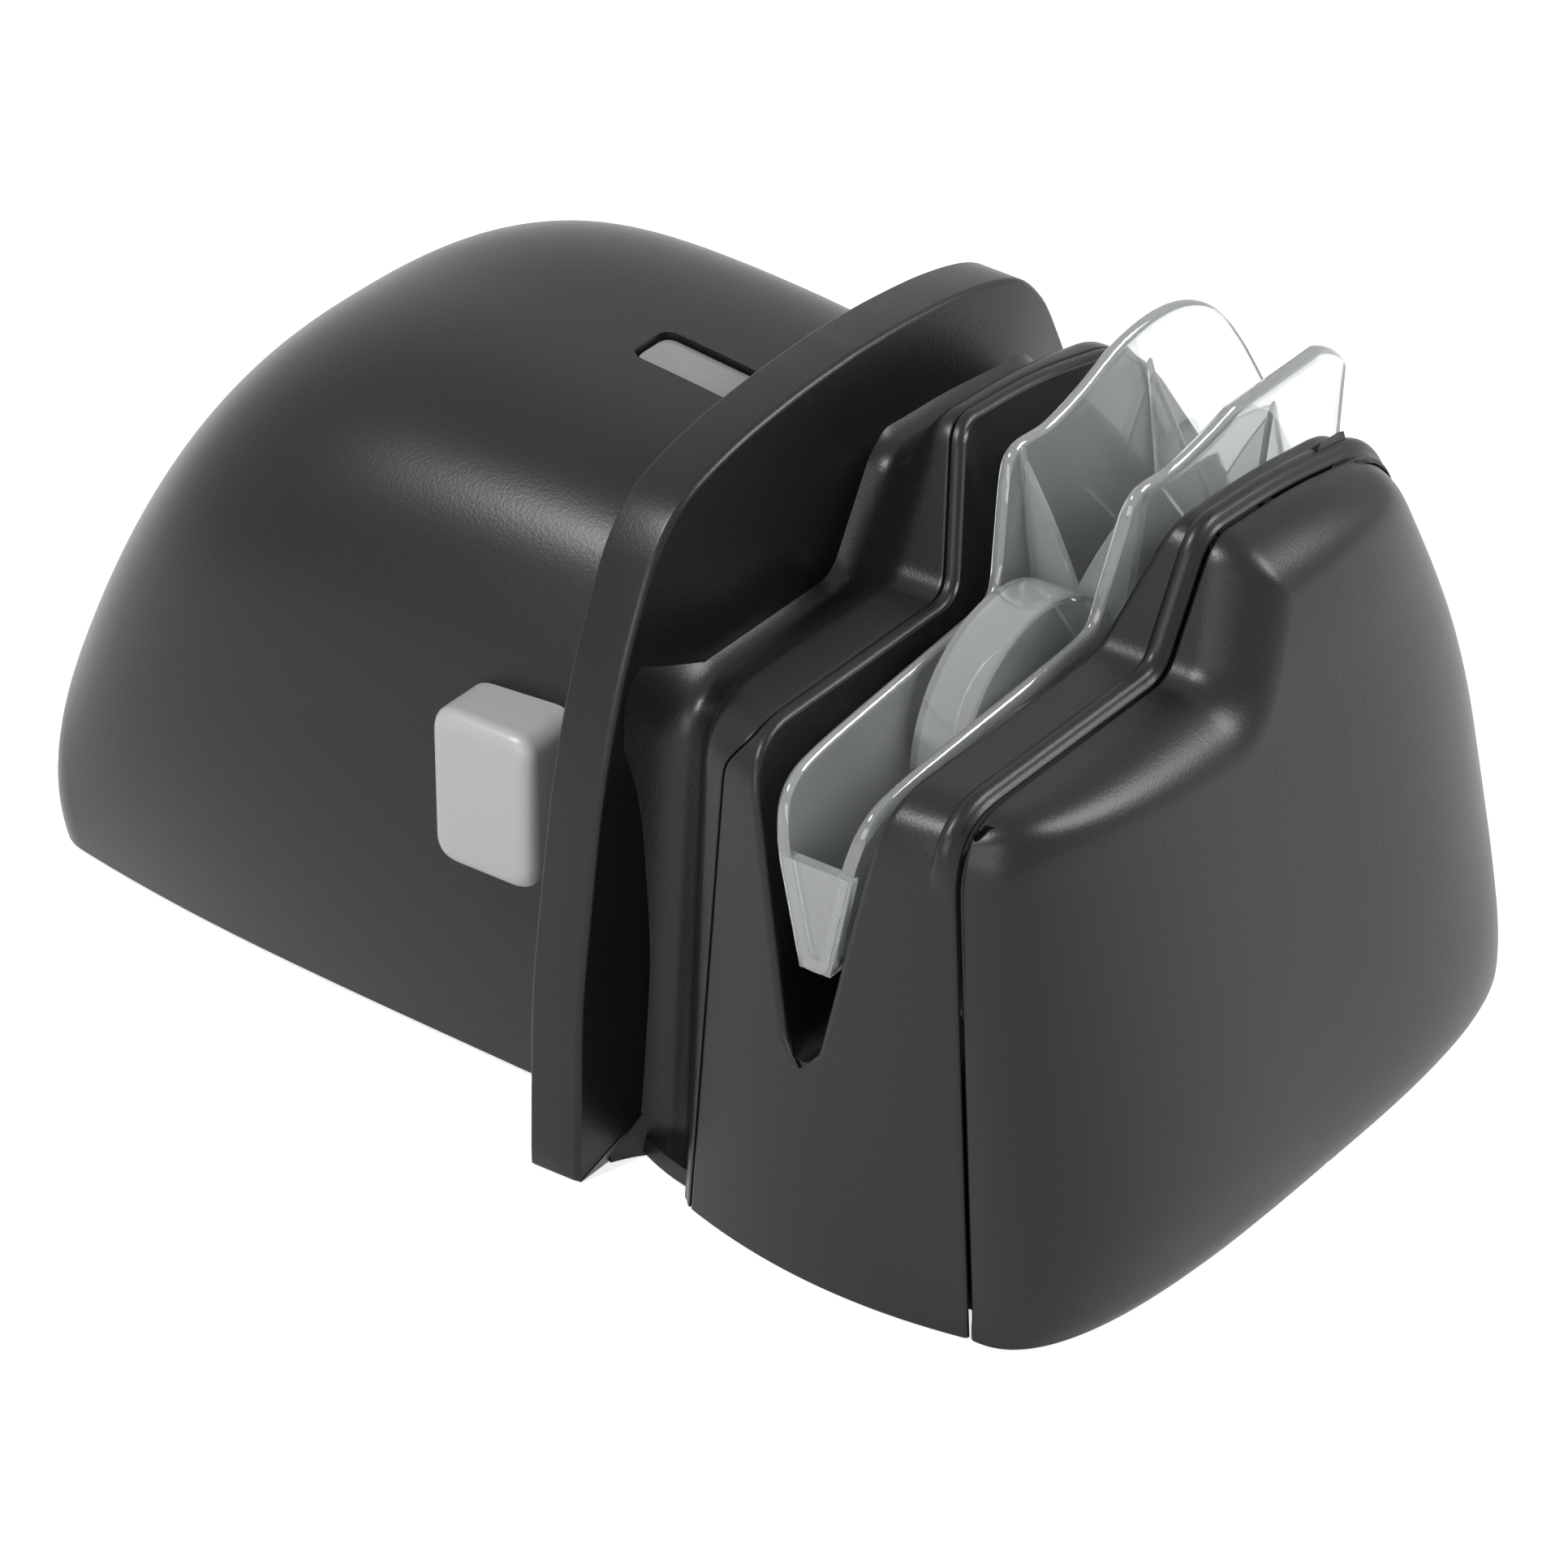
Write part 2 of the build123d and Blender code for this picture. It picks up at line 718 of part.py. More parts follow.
def build_door_pin():
    """Hinge pin of the battery door."""
    with BuildPart() as door_pin:
        with BuildSketch(Plane.XZ):
            with Locations((hinge_x, hinge_z)):
                Circle(pin_radius)
        extrude(amount=door_half_width + fit_gap + pin_reach, both=True)
    return door_pin


def build_battery_tray():
    """Open-bottomed box that holds the row of cells above the door."""
    middle = (tray_left + tray_right) / 2
    with BuildPart() as battery_tray:
        with BuildSketch(Plane.XY.offset(plate_top)):
            with Locations((middle, 0)):
                Rectangle(tray_length + 2 * tray_wall, 2 * (tray_half_width + tray_wall))
        extrude(amount=tray_roof + tray_wall - plate_top)
        with BuildSketch(Plane.XY.offset(plate_top)):
            with Locations((middle, 0)):
                Rectangle(tray_length, 2 * tray_half_width)
        extrude(amount=tray_roof - plate_top, mode=Mode.SUBTRACT)
    return battery_tray


def build_cell(row):
    """One cylindrical cell with its positive nub; neighbours lie head to tail."""
    towards_guard = row % 2 == 0
    flat_end = tray_left + contact_thickness + spring_space
    if not towards_guard:
        flat_end = tray_right - contact_thickness - spring_space
    turn = 1 if towards_guard else -1
    with BuildPart() as cell:
        with BuildSketch(Plane.YZ.offset(flat_end)):
            with Locations((cell_rows[row], cell_z)):
                Circle(cell_radius)
        extrude(amount=turn * cell_length)
        with BuildSketch(Plane.YZ.offset(flat_end + turn * cell_length)):
            with Locations((cell_rows[row], cell_z)):
                Circle(cell_radius * 0.38)
        extrude(amount=turn * cell_nub_length)
    return cell


def build_contact_plates():
    """Flat contacts on both end walls of the bay, one at each cell end."""
    with BuildPart() as contact_plates:
        for x in (tray_left, tray_right - contact_thickness):
            with BuildSketch(Plane.YZ.offset(x)):
                with Locations(*[(y, cell_z) for y in cell_rows]):
                    Rectangle(contact_side, contact_side)
            extrude(amount=contact_thickness)
    return contact_plates


def build_cell_springs():
    """Coil contacts that press on the flat end of each cell."""
    length = spring_space - 2 * cell_spring_wire - 2 * seat_gap
    with BuildPart() as cell_springs:
        for row, y in enumerate(cell_rows):
            start = tray_left + contact_thickness + cell_spring_wire + seat_gap
            if row % 2:
                start = tray_right - contact_thickness - spring_space + cell_spring_wire + seat_gap
            with BuildLine():
                coil = Helix(
                    pitch=length / cell_spring_turns,
                    height=length,
                    radius=cell_spring_radius,
                    center=(start, y, cell_z),
                    direction=(1, 0, 0),
                )
            with BuildSketch(Plane(origin=coil @ 0, z_dir=coil % 0)):
                Circle(cell_spring_wire)
            sweep(path=coil)
    return cell_springs


# ================================================================ grinding drive
def build_motor_can():
    """Round motor can with its front boss and a blind bore for the rotor shaft."""
    with BuildPart() as motor_can:
        with BuildSketch(Plane.YZ.offset(bracket_x)):
            with Locations((motor_y, motor_z)):
                Circle(motor_radius)
        extrude(amount=end_bell_length - motor_length)
        fillet(motor_can.faces().sort_by(Axis.X)[-1].edges(), motor_boss_length / 2)
        with BuildSketch(Plane.YZ.offset(bracket_x)):
            with Locations((motor_y, motor_z)):
                Circle(motor_boss_radius)
        extrude(amount=motor_boss_length)
        with BuildSketch(Plane.YZ.offset(bracket_x + motor_boss_length)):
            with Locations((motor_y, motor_z)):
                Circle(motor_shaft_radius + running_gap)
        extrude(amount=-motor_bore_depth, mode=Mode.SUBTRACT)
        with BuildSketch(Plane.YZ.offset(bracket_x)):
            with Locations(*motor_screw_places):
                Circle(motor_screw_radius)
        extrude(amount=-motor_screw_depth, mode=Mode.SUBTRACT)
    return motor_can


def build_motor_end_bell():
    """Moulded rear end of the motor with its two terminals."""
    with BuildPart() as motor_end_bell:
        with BuildSketch(Plane.YZ.offset(bracket_x - motor_length)):
            with Locations((motor_y, motor_z)):
                Circle(motor_radius - fit_gap)
        extrude(amount=end_bell_length)
        with BuildSketch(Plane.YZ.offset(bracket_x - motor_length)):
            with Locations((motor_y, motor_z - motor_radius / 2), (motor_y, motor_z + motor_radius / 2)):
                Rectangle(3.0, contact_thickness)
        extrude(amount=-end_bell_length)
    return motor_end_bell


def build_motor_bracket():
    """Flat bracket between grip and guard that carries the motor and the rear bush."""
    with BuildPart() as motor_bracket:
        with BuildSketch(Plane.YZ.offset(bracket_x)):
            with BuildLine():
                Polyline(
                    (bracket_front, bracket_low),
                    (bracket_rear, bracket_low),
                    (bracket_rear, bracket_top),
                    (bracket_front, bracket_top),
                    close=True,
                )
            make_face()
            with Locations((motor_y, motor_z)):
                Circle(motor_boss_radius, mode=Mode.SUBTRACT)
            with Locations((wheel_y, wheel_z)):
                Circle(bush_radius, mode=Mode.SUBTRACT)
            with Locations(*bracket_screw_places):
                Circle(screw_radius, mode=Mode.SUBTRACT)
            with Locations(*motor_screw_places):
                Circle(motor_screw_radius, mode=Mode.SUBTRACT)
        extrude(amount=bracket_thickness)
    return motor_bracket


def build_bearing_post():
    """Post on the head floor that carries the outer bush of the wheel shaft."""
    with BuildPart() as bearing_post:
        with BuildSketch(Plane.YZ.offset(post_x)):
            with BuildLine():
                foot = Line((wheel_y - post_half_width, plate_top), (wheel_y + post_half_width, plate_top))
                side = Line(foot @ 1, (wheel_y + post_half_width, wheel_z))
                crown = ThreePointArc(
                    side @ 1,
                    (wheel_y, wheel_z + post_half_width),
                    (wheel_y - post_half_width, wheel_z),
                )
                Line(crown @ 1, foot @ 0)
            make_face()
            with Locations((wheel_y, wheel_z)):
                Circle(bush_radius, mode=Mode.SUBTRACT)
        extrude(amount=post_thickness)
    return bearing_post


def build_bush(x):
    """Plain bush for the wheel shaft, from its left face."""
    with BuildPart() as bush:
        with BuildSketch(Plane.YZ.offset(x)):
            with Locations((wheel_y, wheel_z)):
                Circle(bush_radius)
                Circle(shaft_radius + running_gap, mode=Mode.SUBTRACT)
        extrude(amount=bush_length)
    return bush


def build_gear(teeth, centre, bore, first_angle):
    """Spur gear in the gear room, with its first tooth at the given angle from +Y."""
    pitch_radius = gear_module * teeth / 2
    half_tooth = pi * gear_module * tooth_share / 2
    root = pitch_radius - dedendum_share * gear_module
    tip = pitch_radius + addendum_share * gear_module
    taper = (tip - root) / 2 * sin(radians(20))
    with BuildPart() as gear:
        with BuildSketch(Plane.YZ.offset(gear_x)):
            with Locations(centre):
                Circle(root)
                with PolarLocations(0, teeth, start_angle=first_angle):
                    Polygon(
                        (root * 0.97, -half_tooth - taper),
                        (tip, -half_tooth + taper),
                        (tip, half_tooth - taper),
                        (root * 0.97, half_tooth + taper),
                        align=None,
                    )
                Circle(bore, mode=Mode.SUBTRACT)
        extrude(amount=gear_width)
    return gear


def build_round_bar(centre, radius, start, end):
    """Plain round shaft along X."""
    with BuildPart() as bar:
        with BuildSketch(Plane.YZ.offset(start)):
            with Locations(centre):
                Circle(radius)
        extrude(amount=end - start)
    return bar


def build_grinding_wheel():
    """Diamond-coated disc with bevelled rims, bored for its hub."""
    with BuildPart() as grinding_wheel:
        with BuildSketch(Plane.YZ.offset(x_slot)):
            with Locations((wheel_y, wheel_z)):
                Circle(wheel_radius)
        extrude(amount=wheel_thickness / 2, both=True)
        rims = grinding_wheel.edges().filter_by(GeomType.CIRCLE)
        chamfer(rims, wheel_bevel)
        with BuildSketch(Plane.YZ.offset(x_slot)):
            with Locations((wheel_y, wheel_z)):
                Circle(hub_radius)
        extrude(amount=wheel_thickness, both=True, mode=Mode.SUBTRACT)
    return grinding_wheel


def build_wheel_hub():
    """Hub between the shaft and the disc."""
    with BuildPart() as wheel_hub:
        with BuildSketch(Plane.YZ.offset(x_slot - wheel_thickness / 2)):
            with Locations((wheel_y, wheel_z)):
                Circle(hub_radius)
                Circle(shaft_radius, mode=Mode.SUBTRACT)
        extrude(amount=wheel_thickness)
    return wheel_hub


def build_wheel_nut():
    """Hexagonal nut that holds the hub on the shaft."""
    with BuildPart() as wheel_nut:
        with BuildSketch(Plane.YZ.offset(x_slot + wheel_thickness / 2)):
            with Locations((wheel_y, wheel_z)):
                RegularPolygon(nut_radius, 6)
                Circle(shaft_radius, mode=Mode.SUBTRACT)
        extrude(amount=nut_length)
    return wheel_nut


# ================================================================ button, switch and window
def build_power_button():
    """Push button with a rounded face and a retaining flange inside the grip."""
    with BuildPart() as power_button:
        with BuildSketch(Plane.XZ.offset(-button_back_y)):
            with Locations((button_x, button_z)):
                RectangleRounded(button_width, button_tall, button_corner)
        extrude(amount=button_back_y - button_face_y)
        fillet(power_button.faces().sort_by(Axis.Y)[0].edges(), button_rounding)
        with BuildSketch(Plane.XZ.offset(-button_back_y)):
            with Locations((button_x, button_z)):
                Rectangle(button_width + 2 * button_border, button_tall + 2 * button_border)
        extrude(amount=-button_flange)
    return power_button


def build_button_spring():
    """Return spring between the button flange and the switch."""
    start = button_back_y + button_flange + seat_gap + spring_wire
    end = board_face_y - switch_depth - seat_gap - spring_wire
    with BuildPart() as button_spring:
        with BuildLine():
            coil = Helix(
                pitch=(end - start) / spring_turns,
                height=end - start,
                radius=spring_radius,
                center=(button_x, start, button_z),
                direction=(0, 1, 0),
            )
        with BuildSketch(Plane(origin=coil @ 0, z_dir=coil % 0)):
            Circle(spring_wire)
        sweep(path=coil)
    return button_spring


def build_switch_plunger():
    """Plunger that the button pushes into the switch."""
    start = button_back_y + button_flange + fit_gap
    with BuildPart() as switch_plunger:
        with BuildSketch(Plane.XZ.offset(-start)):
            with Locations((button_x, button_z)):
                Circle(plunger_radius)
        extrude(amount=-(board_face_y - button_travel - fit_gap - start))
    return switch_plunger


def build_micro_switch():
    """Square switch body on the board, bored for its plunger."""
    with BuildPart() as micro_switch:
        with BuildSketch(Plane.XZ.offset(-board_face_y)):
            with Locations((button_x, button_z)):
                Rectangle(switch_side, switch_side)
                Circle(plunger_radius + fit_gap, mode=Mode.SUBTRACT)
        extrude(amount=switch_depth)
    return micro_switch


def build_switch_board():
    """Circuit board that carries the switch, on two posts of the grip."""
    with BuildPart() as switch_board:
        with BuildSketch(Plane.XZ.offset(-board_face_y)):
            with Locations((button_x, button_z)):
                Rectangle(board_width, board_tall)
            with Locations(*board_screw_places):
                Circle(screw_radius, mode=Mode.SUBTRACT)
        extrude(amount=-board_thickness)
    return switch_board


def build_status_window():
    """Pale lens in the slot on top of the grip, with a flange under the shell."""
    with BuildPart() as status_window:
        with BuildSketch(Plane.XY.offset(window_foot)):
            with Locations((window_x, 0)):
                SlotOverall(window_length + 2 * window_flange, window_width + 2 * window_flange)
        extrude(amount=window_thickness / 2)
        with BuildSketch(Plane.XY.offset(window_foot)):
            with Locations((window_x, 0)):
                SlotOverall(window_length, window_width)
        extrude(amount=window_top - window_foot)
    return status_window


def build_indicator_led():
    """Round lamp under the window."""
    with BuildPart() as indicator_led:
        with BuildSketch(Plane.XY.offset(led_foot)):
            with Locations((window_x, 0)):
                Circle(led_radius)
        extrude(amount=led_height)
    return indicator_led


def build_led_board():
    """Small board that carries the lamp."""
    with BuildPart() as led_board:
        with BuildSketch(Plane.XY.offset(led_foot)):
            with Locations((window_x, 0)):
                RectangleRounded(window_length, window_width + 2 * window_flange, 1.0)
        extrude(amount=-led_board_thickness)
    return led_board


# ================================================================ fixings
def build_screws(plane, places, radius=screw_radius, length=screw_length):
    """Group of round-headed screws whose heads bear on one plane, with shanks along its normal."""
    with BuildPart() as screws:
        with BuildSketch(plane):
            with Locations(*places):
                Circle(radius)
        extrude(amount=length)
        with BuildSketch(plane):
            with Locations(*places):
                Circle(radius * screw_head_ratio)
        extrude(amount=-screw_head_height)
    return screws


def build_rubber_feet():
    """Four round feet in the recesses of the two floors."""
    with BuildPart() as rubber_feet:
        with BuildSketch(Plane.XY):
            with Locations(*foot_places):
                Circle(foot_radius)
        extrude(amount=z_shell + foot_recess)
    return rubber_feet


# ================================================================ all pieces
def main():
    """Build every piece and write it under its name."""
    os.makedirs("parts", exist_ok=True)
    motor_centre = (motor_y, motor_z)
    wheel_centre = (wheel_y, wheel_z)
    mesh_angle = 90.0 - gear_axis_angle
    floor_heads = Plane.XY.offset(z_shell + screw_sink)
    board_heads = Plane.XZ.offset(-board_face_y - board_thickness)
    motor_heads = Plane(origin=(x_guard, 0, 0), x_dir=(0, 1, 0), z_dir=(-1, 0, 0))
    mirrored_motor_screws = [(y, -z) for y, z in motor_screw_places]

    save(build_grip_shell(), "grip_shell")
    save(build_guard_body(), "guard_body")
    save(build_wheel_housing(), "wheel_housing")
    save(build_end_cap(), "end_cap")
    save(build_blade_guide(), "blade_guide")
    save(build_base_plate(), "base_plate")
    save(build_head_base(), "head_base")
    save(build_rubber_feet(), "rubber_feet")

    save(build_battery_door(), "battery_door")
    save(build_door_pin(), "door_hinge_pin")
    save(build_battery_tray(), "battery_tray")
    for row in range(cell_count):
        save(build_cell(row), f"cell_{row + 1}")
    save(build_contact_plates(), "contact_plates")
    save(build_cell_springs(), "cell_springs")

    save(build_motor_can(), "motor_can")
    save(build_motor_end_bell(), "motor_end_bell")
    save(build_motor_bracket(), "motor_bracket")
    shaft_start = bracket_x + motor_boss_length - motor_bore_depth + fit_gap
    shaft_end = gear_x + gear_width + fit_gap
    save(build_round_bar(motor_centre, motor_shaft_radius, shaft_start, shaft_end), "motor_shaft")
    save(build_gear(pinion_teeth, motor_centre, motor_shaft_radius, mesh_angle + 180.0), "motor_pinion")
    gap_angle = mesh_angle + 180.0 / gear_teeth
    save(build_gear(gear_teeth, wheel_centre, shaft_radius, gap_angle), "shaft_gear")
    save(build_round_bar(wheel_centre, shaft_radius, bracket_x, post_x + bush_length), "wheel_shaft")
    save(build_bush(bracket_x), "rear_bush")
    save(build_bush(post_x - (bush_length - post_thickness) / 2), "outer_bush")
    save(build_bearing_post(), "bearing_post")
    save(build_grinding_wheel(), "grinding_wheel")
    save(build_wheel_hub(), "wheel_hub")
    save(build_wheel_nut(), "wheel_nut")

    save(build_power_button(), "power_button")
    save(build_button_spring(), "button_spring")
    save(build_micro_switch(), "micro_switch")
    save(build_switch_plunger(), "switch_plunger")
    save(build_switch_board(), "switch_board")
    save(build_status_window(), "status_window")
    save(build_indicator_led(), "indicator_led")
    save(build_led_board(), "led_board")

    save(build_screws(floor_heads, base_screw_places), "base_screws")
    save(build_screws(floor_heads, head_screw_places), "head_screws")
    save(build_screws(board_heads, board_screw_places), "board_screws")
    save(build_screws(Plane.YZ.offset(bracket_x), bracket_screw_places), "bracket_screws")
    motor_screw_length = bracket_thickness + motor_screw_depth
    motor_screws = build_screws(motor_heads, mirrored_motor_screws, motor_screw_radius, motor_screw_length)
    save(motor_screws, "motor_screws")


if __name__ == "__main__":
    main()
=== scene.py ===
"""Looks of the battery knife sharpener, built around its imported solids.

Every size in the classes is in millimetres in the frame of the solids; a mesh is scaled to metres as it is made.
"""
import logging
import math
from collections.abc import Callable, Sequence
from dataclasses import dataclass, field
from enum import Enum

import bmesh
import bpy
import numpy as np
from bpy.types import ID, Material, Mesh, Node, NodeSocket, NodeTree, Object, World
from mathutils import Matrix


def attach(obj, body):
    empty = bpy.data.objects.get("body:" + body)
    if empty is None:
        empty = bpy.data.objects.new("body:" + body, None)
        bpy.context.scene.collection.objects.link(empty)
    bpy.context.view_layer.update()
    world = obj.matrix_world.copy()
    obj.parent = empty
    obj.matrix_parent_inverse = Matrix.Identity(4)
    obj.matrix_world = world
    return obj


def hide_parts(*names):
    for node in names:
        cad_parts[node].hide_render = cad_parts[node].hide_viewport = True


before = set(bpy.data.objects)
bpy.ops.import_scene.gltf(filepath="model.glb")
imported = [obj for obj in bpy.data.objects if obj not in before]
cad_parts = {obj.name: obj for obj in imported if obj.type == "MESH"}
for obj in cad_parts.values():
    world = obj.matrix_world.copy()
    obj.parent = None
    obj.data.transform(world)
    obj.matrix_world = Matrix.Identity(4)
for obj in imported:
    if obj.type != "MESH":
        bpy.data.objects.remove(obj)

Array = np.ndarray
Pair = tuple[float, float]
Triple = tuple[float, float, float]
LOG = logging.getLogger("sharpener")
MM = 0.001
WELD = 0.012
SLIVER = 0.004
CRISP_ANGLE = 32.0


# Numbers and grids
def smooth(low: float, high: float, value: Array) -> Array:
    """Ease from 0 to 1 with level ends: t * t * (3 - 2t), t the share of the way from low to high."""
    t = np.clip((value - low) / (high - low), 0.0, 1.0)
    return t * t * (3.0 - 2.0 * t)


def through(points: Sequence[tuple[float, ...]], count: int) -> Array:
    """Return a count of points evenly spaced along a curve that passes through the given points.

    The curve is Catmull-Rom: in each span a cubic whose end slopes are half the chord of the neighbours.
    """
    p = np.asarray(points, float)
    p = np.vstack([2 * p[0] - p[1], p, 2 * p[-1] - p[-2]])
    t = np.linspace(0.0, 1.0, 24, endpoint=False)[:, None]
    a, b, c, d = p[:-3, None], p[1:-2, None], p[2:-1, None], p[3:, None]
    spans = 0.5 * (2 * b + (c - a) * t + (2 * a - 5 * b + 4 * c - d) * t**2 + (3 * b - a - 3 * c + d) * t**3)
    curve = np.vstack([spans.reshape(-1, p.shape[1]), p[-2]])
    return even(curve, count)


def even(curve: Array, count: int) -> Array:
    """Return a count of points spaced evenly by arc length along a curve of shape (n, dimensions)."""
    reach = np.concatenate([[0.0], np.cumsum(np.linalg.norm(np.diff(curve, axis=0), axis=1))])
    wanted = np.linspace(0.0, reach[-1], count)
    return np.stack([np.interp(wanted, reach, column) for column in curve.T], axis=1)


def unit(vectors: Array) -> Array:
    """Scale vectors on the last axis to length 1."""
    return vectors / np.maximum(np.linalg.norm(vectors, axis=-1, keepdims=True), 1e-9)


def bezier(start: Array, corner: Array, end: Array, t: Array) -> Array:
    """Quadratic Bezier curve from start to end, drawn towards the corner."""
    return (1 - t) ** 2 * start + 2 * t * (1 - t) * corner + t**2 * end


def rounded(centre: Pair, half: Pair, cut: float) -> Array:
    """Closed outline of a rectangle whose corners are quadratic Bezier curves.

    Args:
        centre: Its middle.
        half: Half of each side.
        cut: Length that a corner's curve takes off each side.
    """
    here = np.array(centre) + np.array(((-1, -1), (1, -1), (1, 1), (-1, 1))) * half
    start = here + cut * unit(np.roll(here, 1, axis=0) - here)
    end = here + cut * unit(np.roll(here, -1, axis=0) - here)
    t = np.linspace(0.0, 1.0, 8)[None, :, None]
    return bezier(start[:, None], here[:, None], end[:, None], t).reshape(-1, 2)


def quarter(radius: float, count: int) -> tuple[Array, Array]:
    """Steps of a quarter round: how far each lies from its end, and how far it is drawn in."""
    turn = np.linspace(0.0, np.pi / 2, count)
    return radius * (1 - np.sin(turn)), radius * (1 - np.cos(turn))


def joined(x: Array, yz: Array) -> Array:
    """Join lengths and section points (y, z) to points in space."""
    return np.concatenate([np.broadcast_to(x[..., None], yz.shape[:-1] + (1,)), yz], axis=-1)


def put(name: str, data: ID) -> Object:
    """Make an object from its data and put it in the scene."""
    made = bpy.data.objects.new(name, data)
    bpy.context.scene.collection.objects.link(made)
    return made


class Piece:
    """Mesh of one piece, gathered from grids of points in millimetres."""

    def __init__(self, name: str) -> None:
        """Start an empty piece with its name."""
        self.name = name
        self.points: list[Array] = []
        self.faces: list[Array] = []
        self.caps: list[list[int]] = []
        self.count = 0

    def grid(self, points: Array, wrap: bool = False) -> "Piece":
        """Add a sheet of quads from points of shape (rows, columns, 3); wrap joins its last column to the first."""
        rows, columns = points.shape[:2]
        index = np.arange(rows * columns).reshape(rows, columns) + self.count
        if wrap:
            index = np.hstack([index, index[:, :1]])
        quads = np.stack([index[:-1, :-1], index[:-1, 1:], index[1:, 1:], index[1:, :-1]], axis=-1)
        self.points.append(points.reshape(-1, 3))
        self.faces.append(quads.reshape(-1, 4))
        self.count += rows * columns
        return self

    def tube(self, rings: Array) -> "Piece":
        """Add a closed body from closed rings of shape (rings, points, 3), shut at both ends."""
        first = self.count
        self.grid(rings, wrap=True)
        size = rings.shape[1]
        self.caps.append(list(range(first + size - 1, first - 1, -1)))
        self.caps.append(list(range(self.count - size, self.count)))
        return self

    def mesh(self) -> Mesh:
        """Return all that has been gathered as one mesh in metres."""
        mesh = bpy.data.meshes.new(self.name)
        mesh.from_pydata((np.vstack(self.points) * MM).tolist(), [], np.vstack(self.faces).tolist() + self.caps)
        return mesh

    def make(self, stock: "Stock", body: str, slot: str, replaces: Sequence[str],
             wall: float = 0.0, sharp: float = CRISP_ANGLE) -> Object:
        """Turn the gathered grids into a dressed object.

        Args:
            stock: Finish of the piece.
            body: Body that it rides on.
            slot: Material slot of the record; not used.
            replaces: Nodes that it stands for.
            wall: Thickness that an open skin gets, inwards.
            sharp: Angle in degrees past which an edge stays crisp.
        """
        mesh = self.mesh()
        shape = bmesh.new()
        shape.from_mesh(mesh)
        bmesh.ops.remove_doubles(shape, verts=shape.verts, dist=WELD * MM)
        bmesh.ops.dissolve_degenerate(shape, edges=shape.edges, dist=SLIVER * MM)
        bmesh.ops.recalc_face_normals(shape, faces=shape.faces)
        shape.faces.ensure_lookup_table()
        top = max(shape.faces, key=lambda face: face.calc_center_median().z)
        if top.normal.z < 0 and wall:
            bmesh.ops.reverse_faces(shape, faces=shape.faces)
        shape.to_mesh(mesh)
        shape.free()
        piece = put(self.name, mesh)
        if wall:
            thickness = piece.modifiers.new("wall", "SOLIDIFY")
            thickness.thickness = wall * MM
            thickness.offset = -1.0
            bake(piece)
        shade(piece, sharp)
        piece.data.materials.clear()
        piece.data.materials.append(stock.value.material())
        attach(piece, body)
        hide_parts(*replaces)
        LOG.info("%s: %d faces on %s", self.name, len(piece.data.polygons), body)
        return piece


def shade(piece: Object, sharp: float) -> None:
    """Shade a piece smooth, with the edges past an angle in degrees left crisp."""
    piece.data.shade_smooth()
    piece.data.set_sharp_from_angle(angle=math.radians(sharp))


def bake(piece: Object) -> None:
    """Replace a piece's mesh by what its modifiers make of it."""
    mesh = bpy.data.meshes.new_from_object(piece.evaluated_get(bpy.context.evaluated_depsgraph_get()))
    piece.modifiers.clear()
    piece.data = mesh


def carve(piece: Object, cutter: Piece) -> None:
    """Cut the closed shape of a cutter out of a piece."""
    tool = put(cutter.name, cutter.mesh())
    cut = piece.modifiers.new("cut", "BOOLEAN")
    cut.operation, cut.solver, cut.object = "DIFFERENCE", "EXACT", tool
    bake(piece)
    bpy.data.objects.remove(tool)
    shade(piece, CRISP_ANGLE)


# Finishes
def colour(code: str) -> tuple[float, float, float, float]:
    """Turn an sRGB hex colour to linear light."""
    parts = [int(code[i:i + 2], 16) / 255 for i in (1, 3, 5)]
    return (*[p / 12.92 if p <= 0.04045 else ((p + 0.055) / 1.055) ** 2.4 for p in parts], 1.0)


def add_node(tree: NodeTree, kind: str, settings: dict | None = None, links: dict | None = None) -> Node:
    """Add one node to a tree and return it.

    Args:
        tree: The tree to add to.
        kind: Blender's name for the shader node.
        settings: Values for its sockets or properties.
        links: Sockets that feed its inputs.
    """
    node = tree.nodes.new("ShaderNode" + kind)
    for key, value in (settings or {}).items():
        if isinstance(key, int) or key in node.inputs:
            node.inputs[key].default_value = value
        else:
            setattr(node, key, value)
    for key, source in (links or {}).items():
        tree.links.new(source, node.inputs[key])
    return node


def blank_tree(owner: Material | World) -> NodeTree:
    """Return the node tree of a material or world, emptied."""
    owner.use_nodes = True
    owner.node_tree.nodes.clear()
    return owner.node_tree


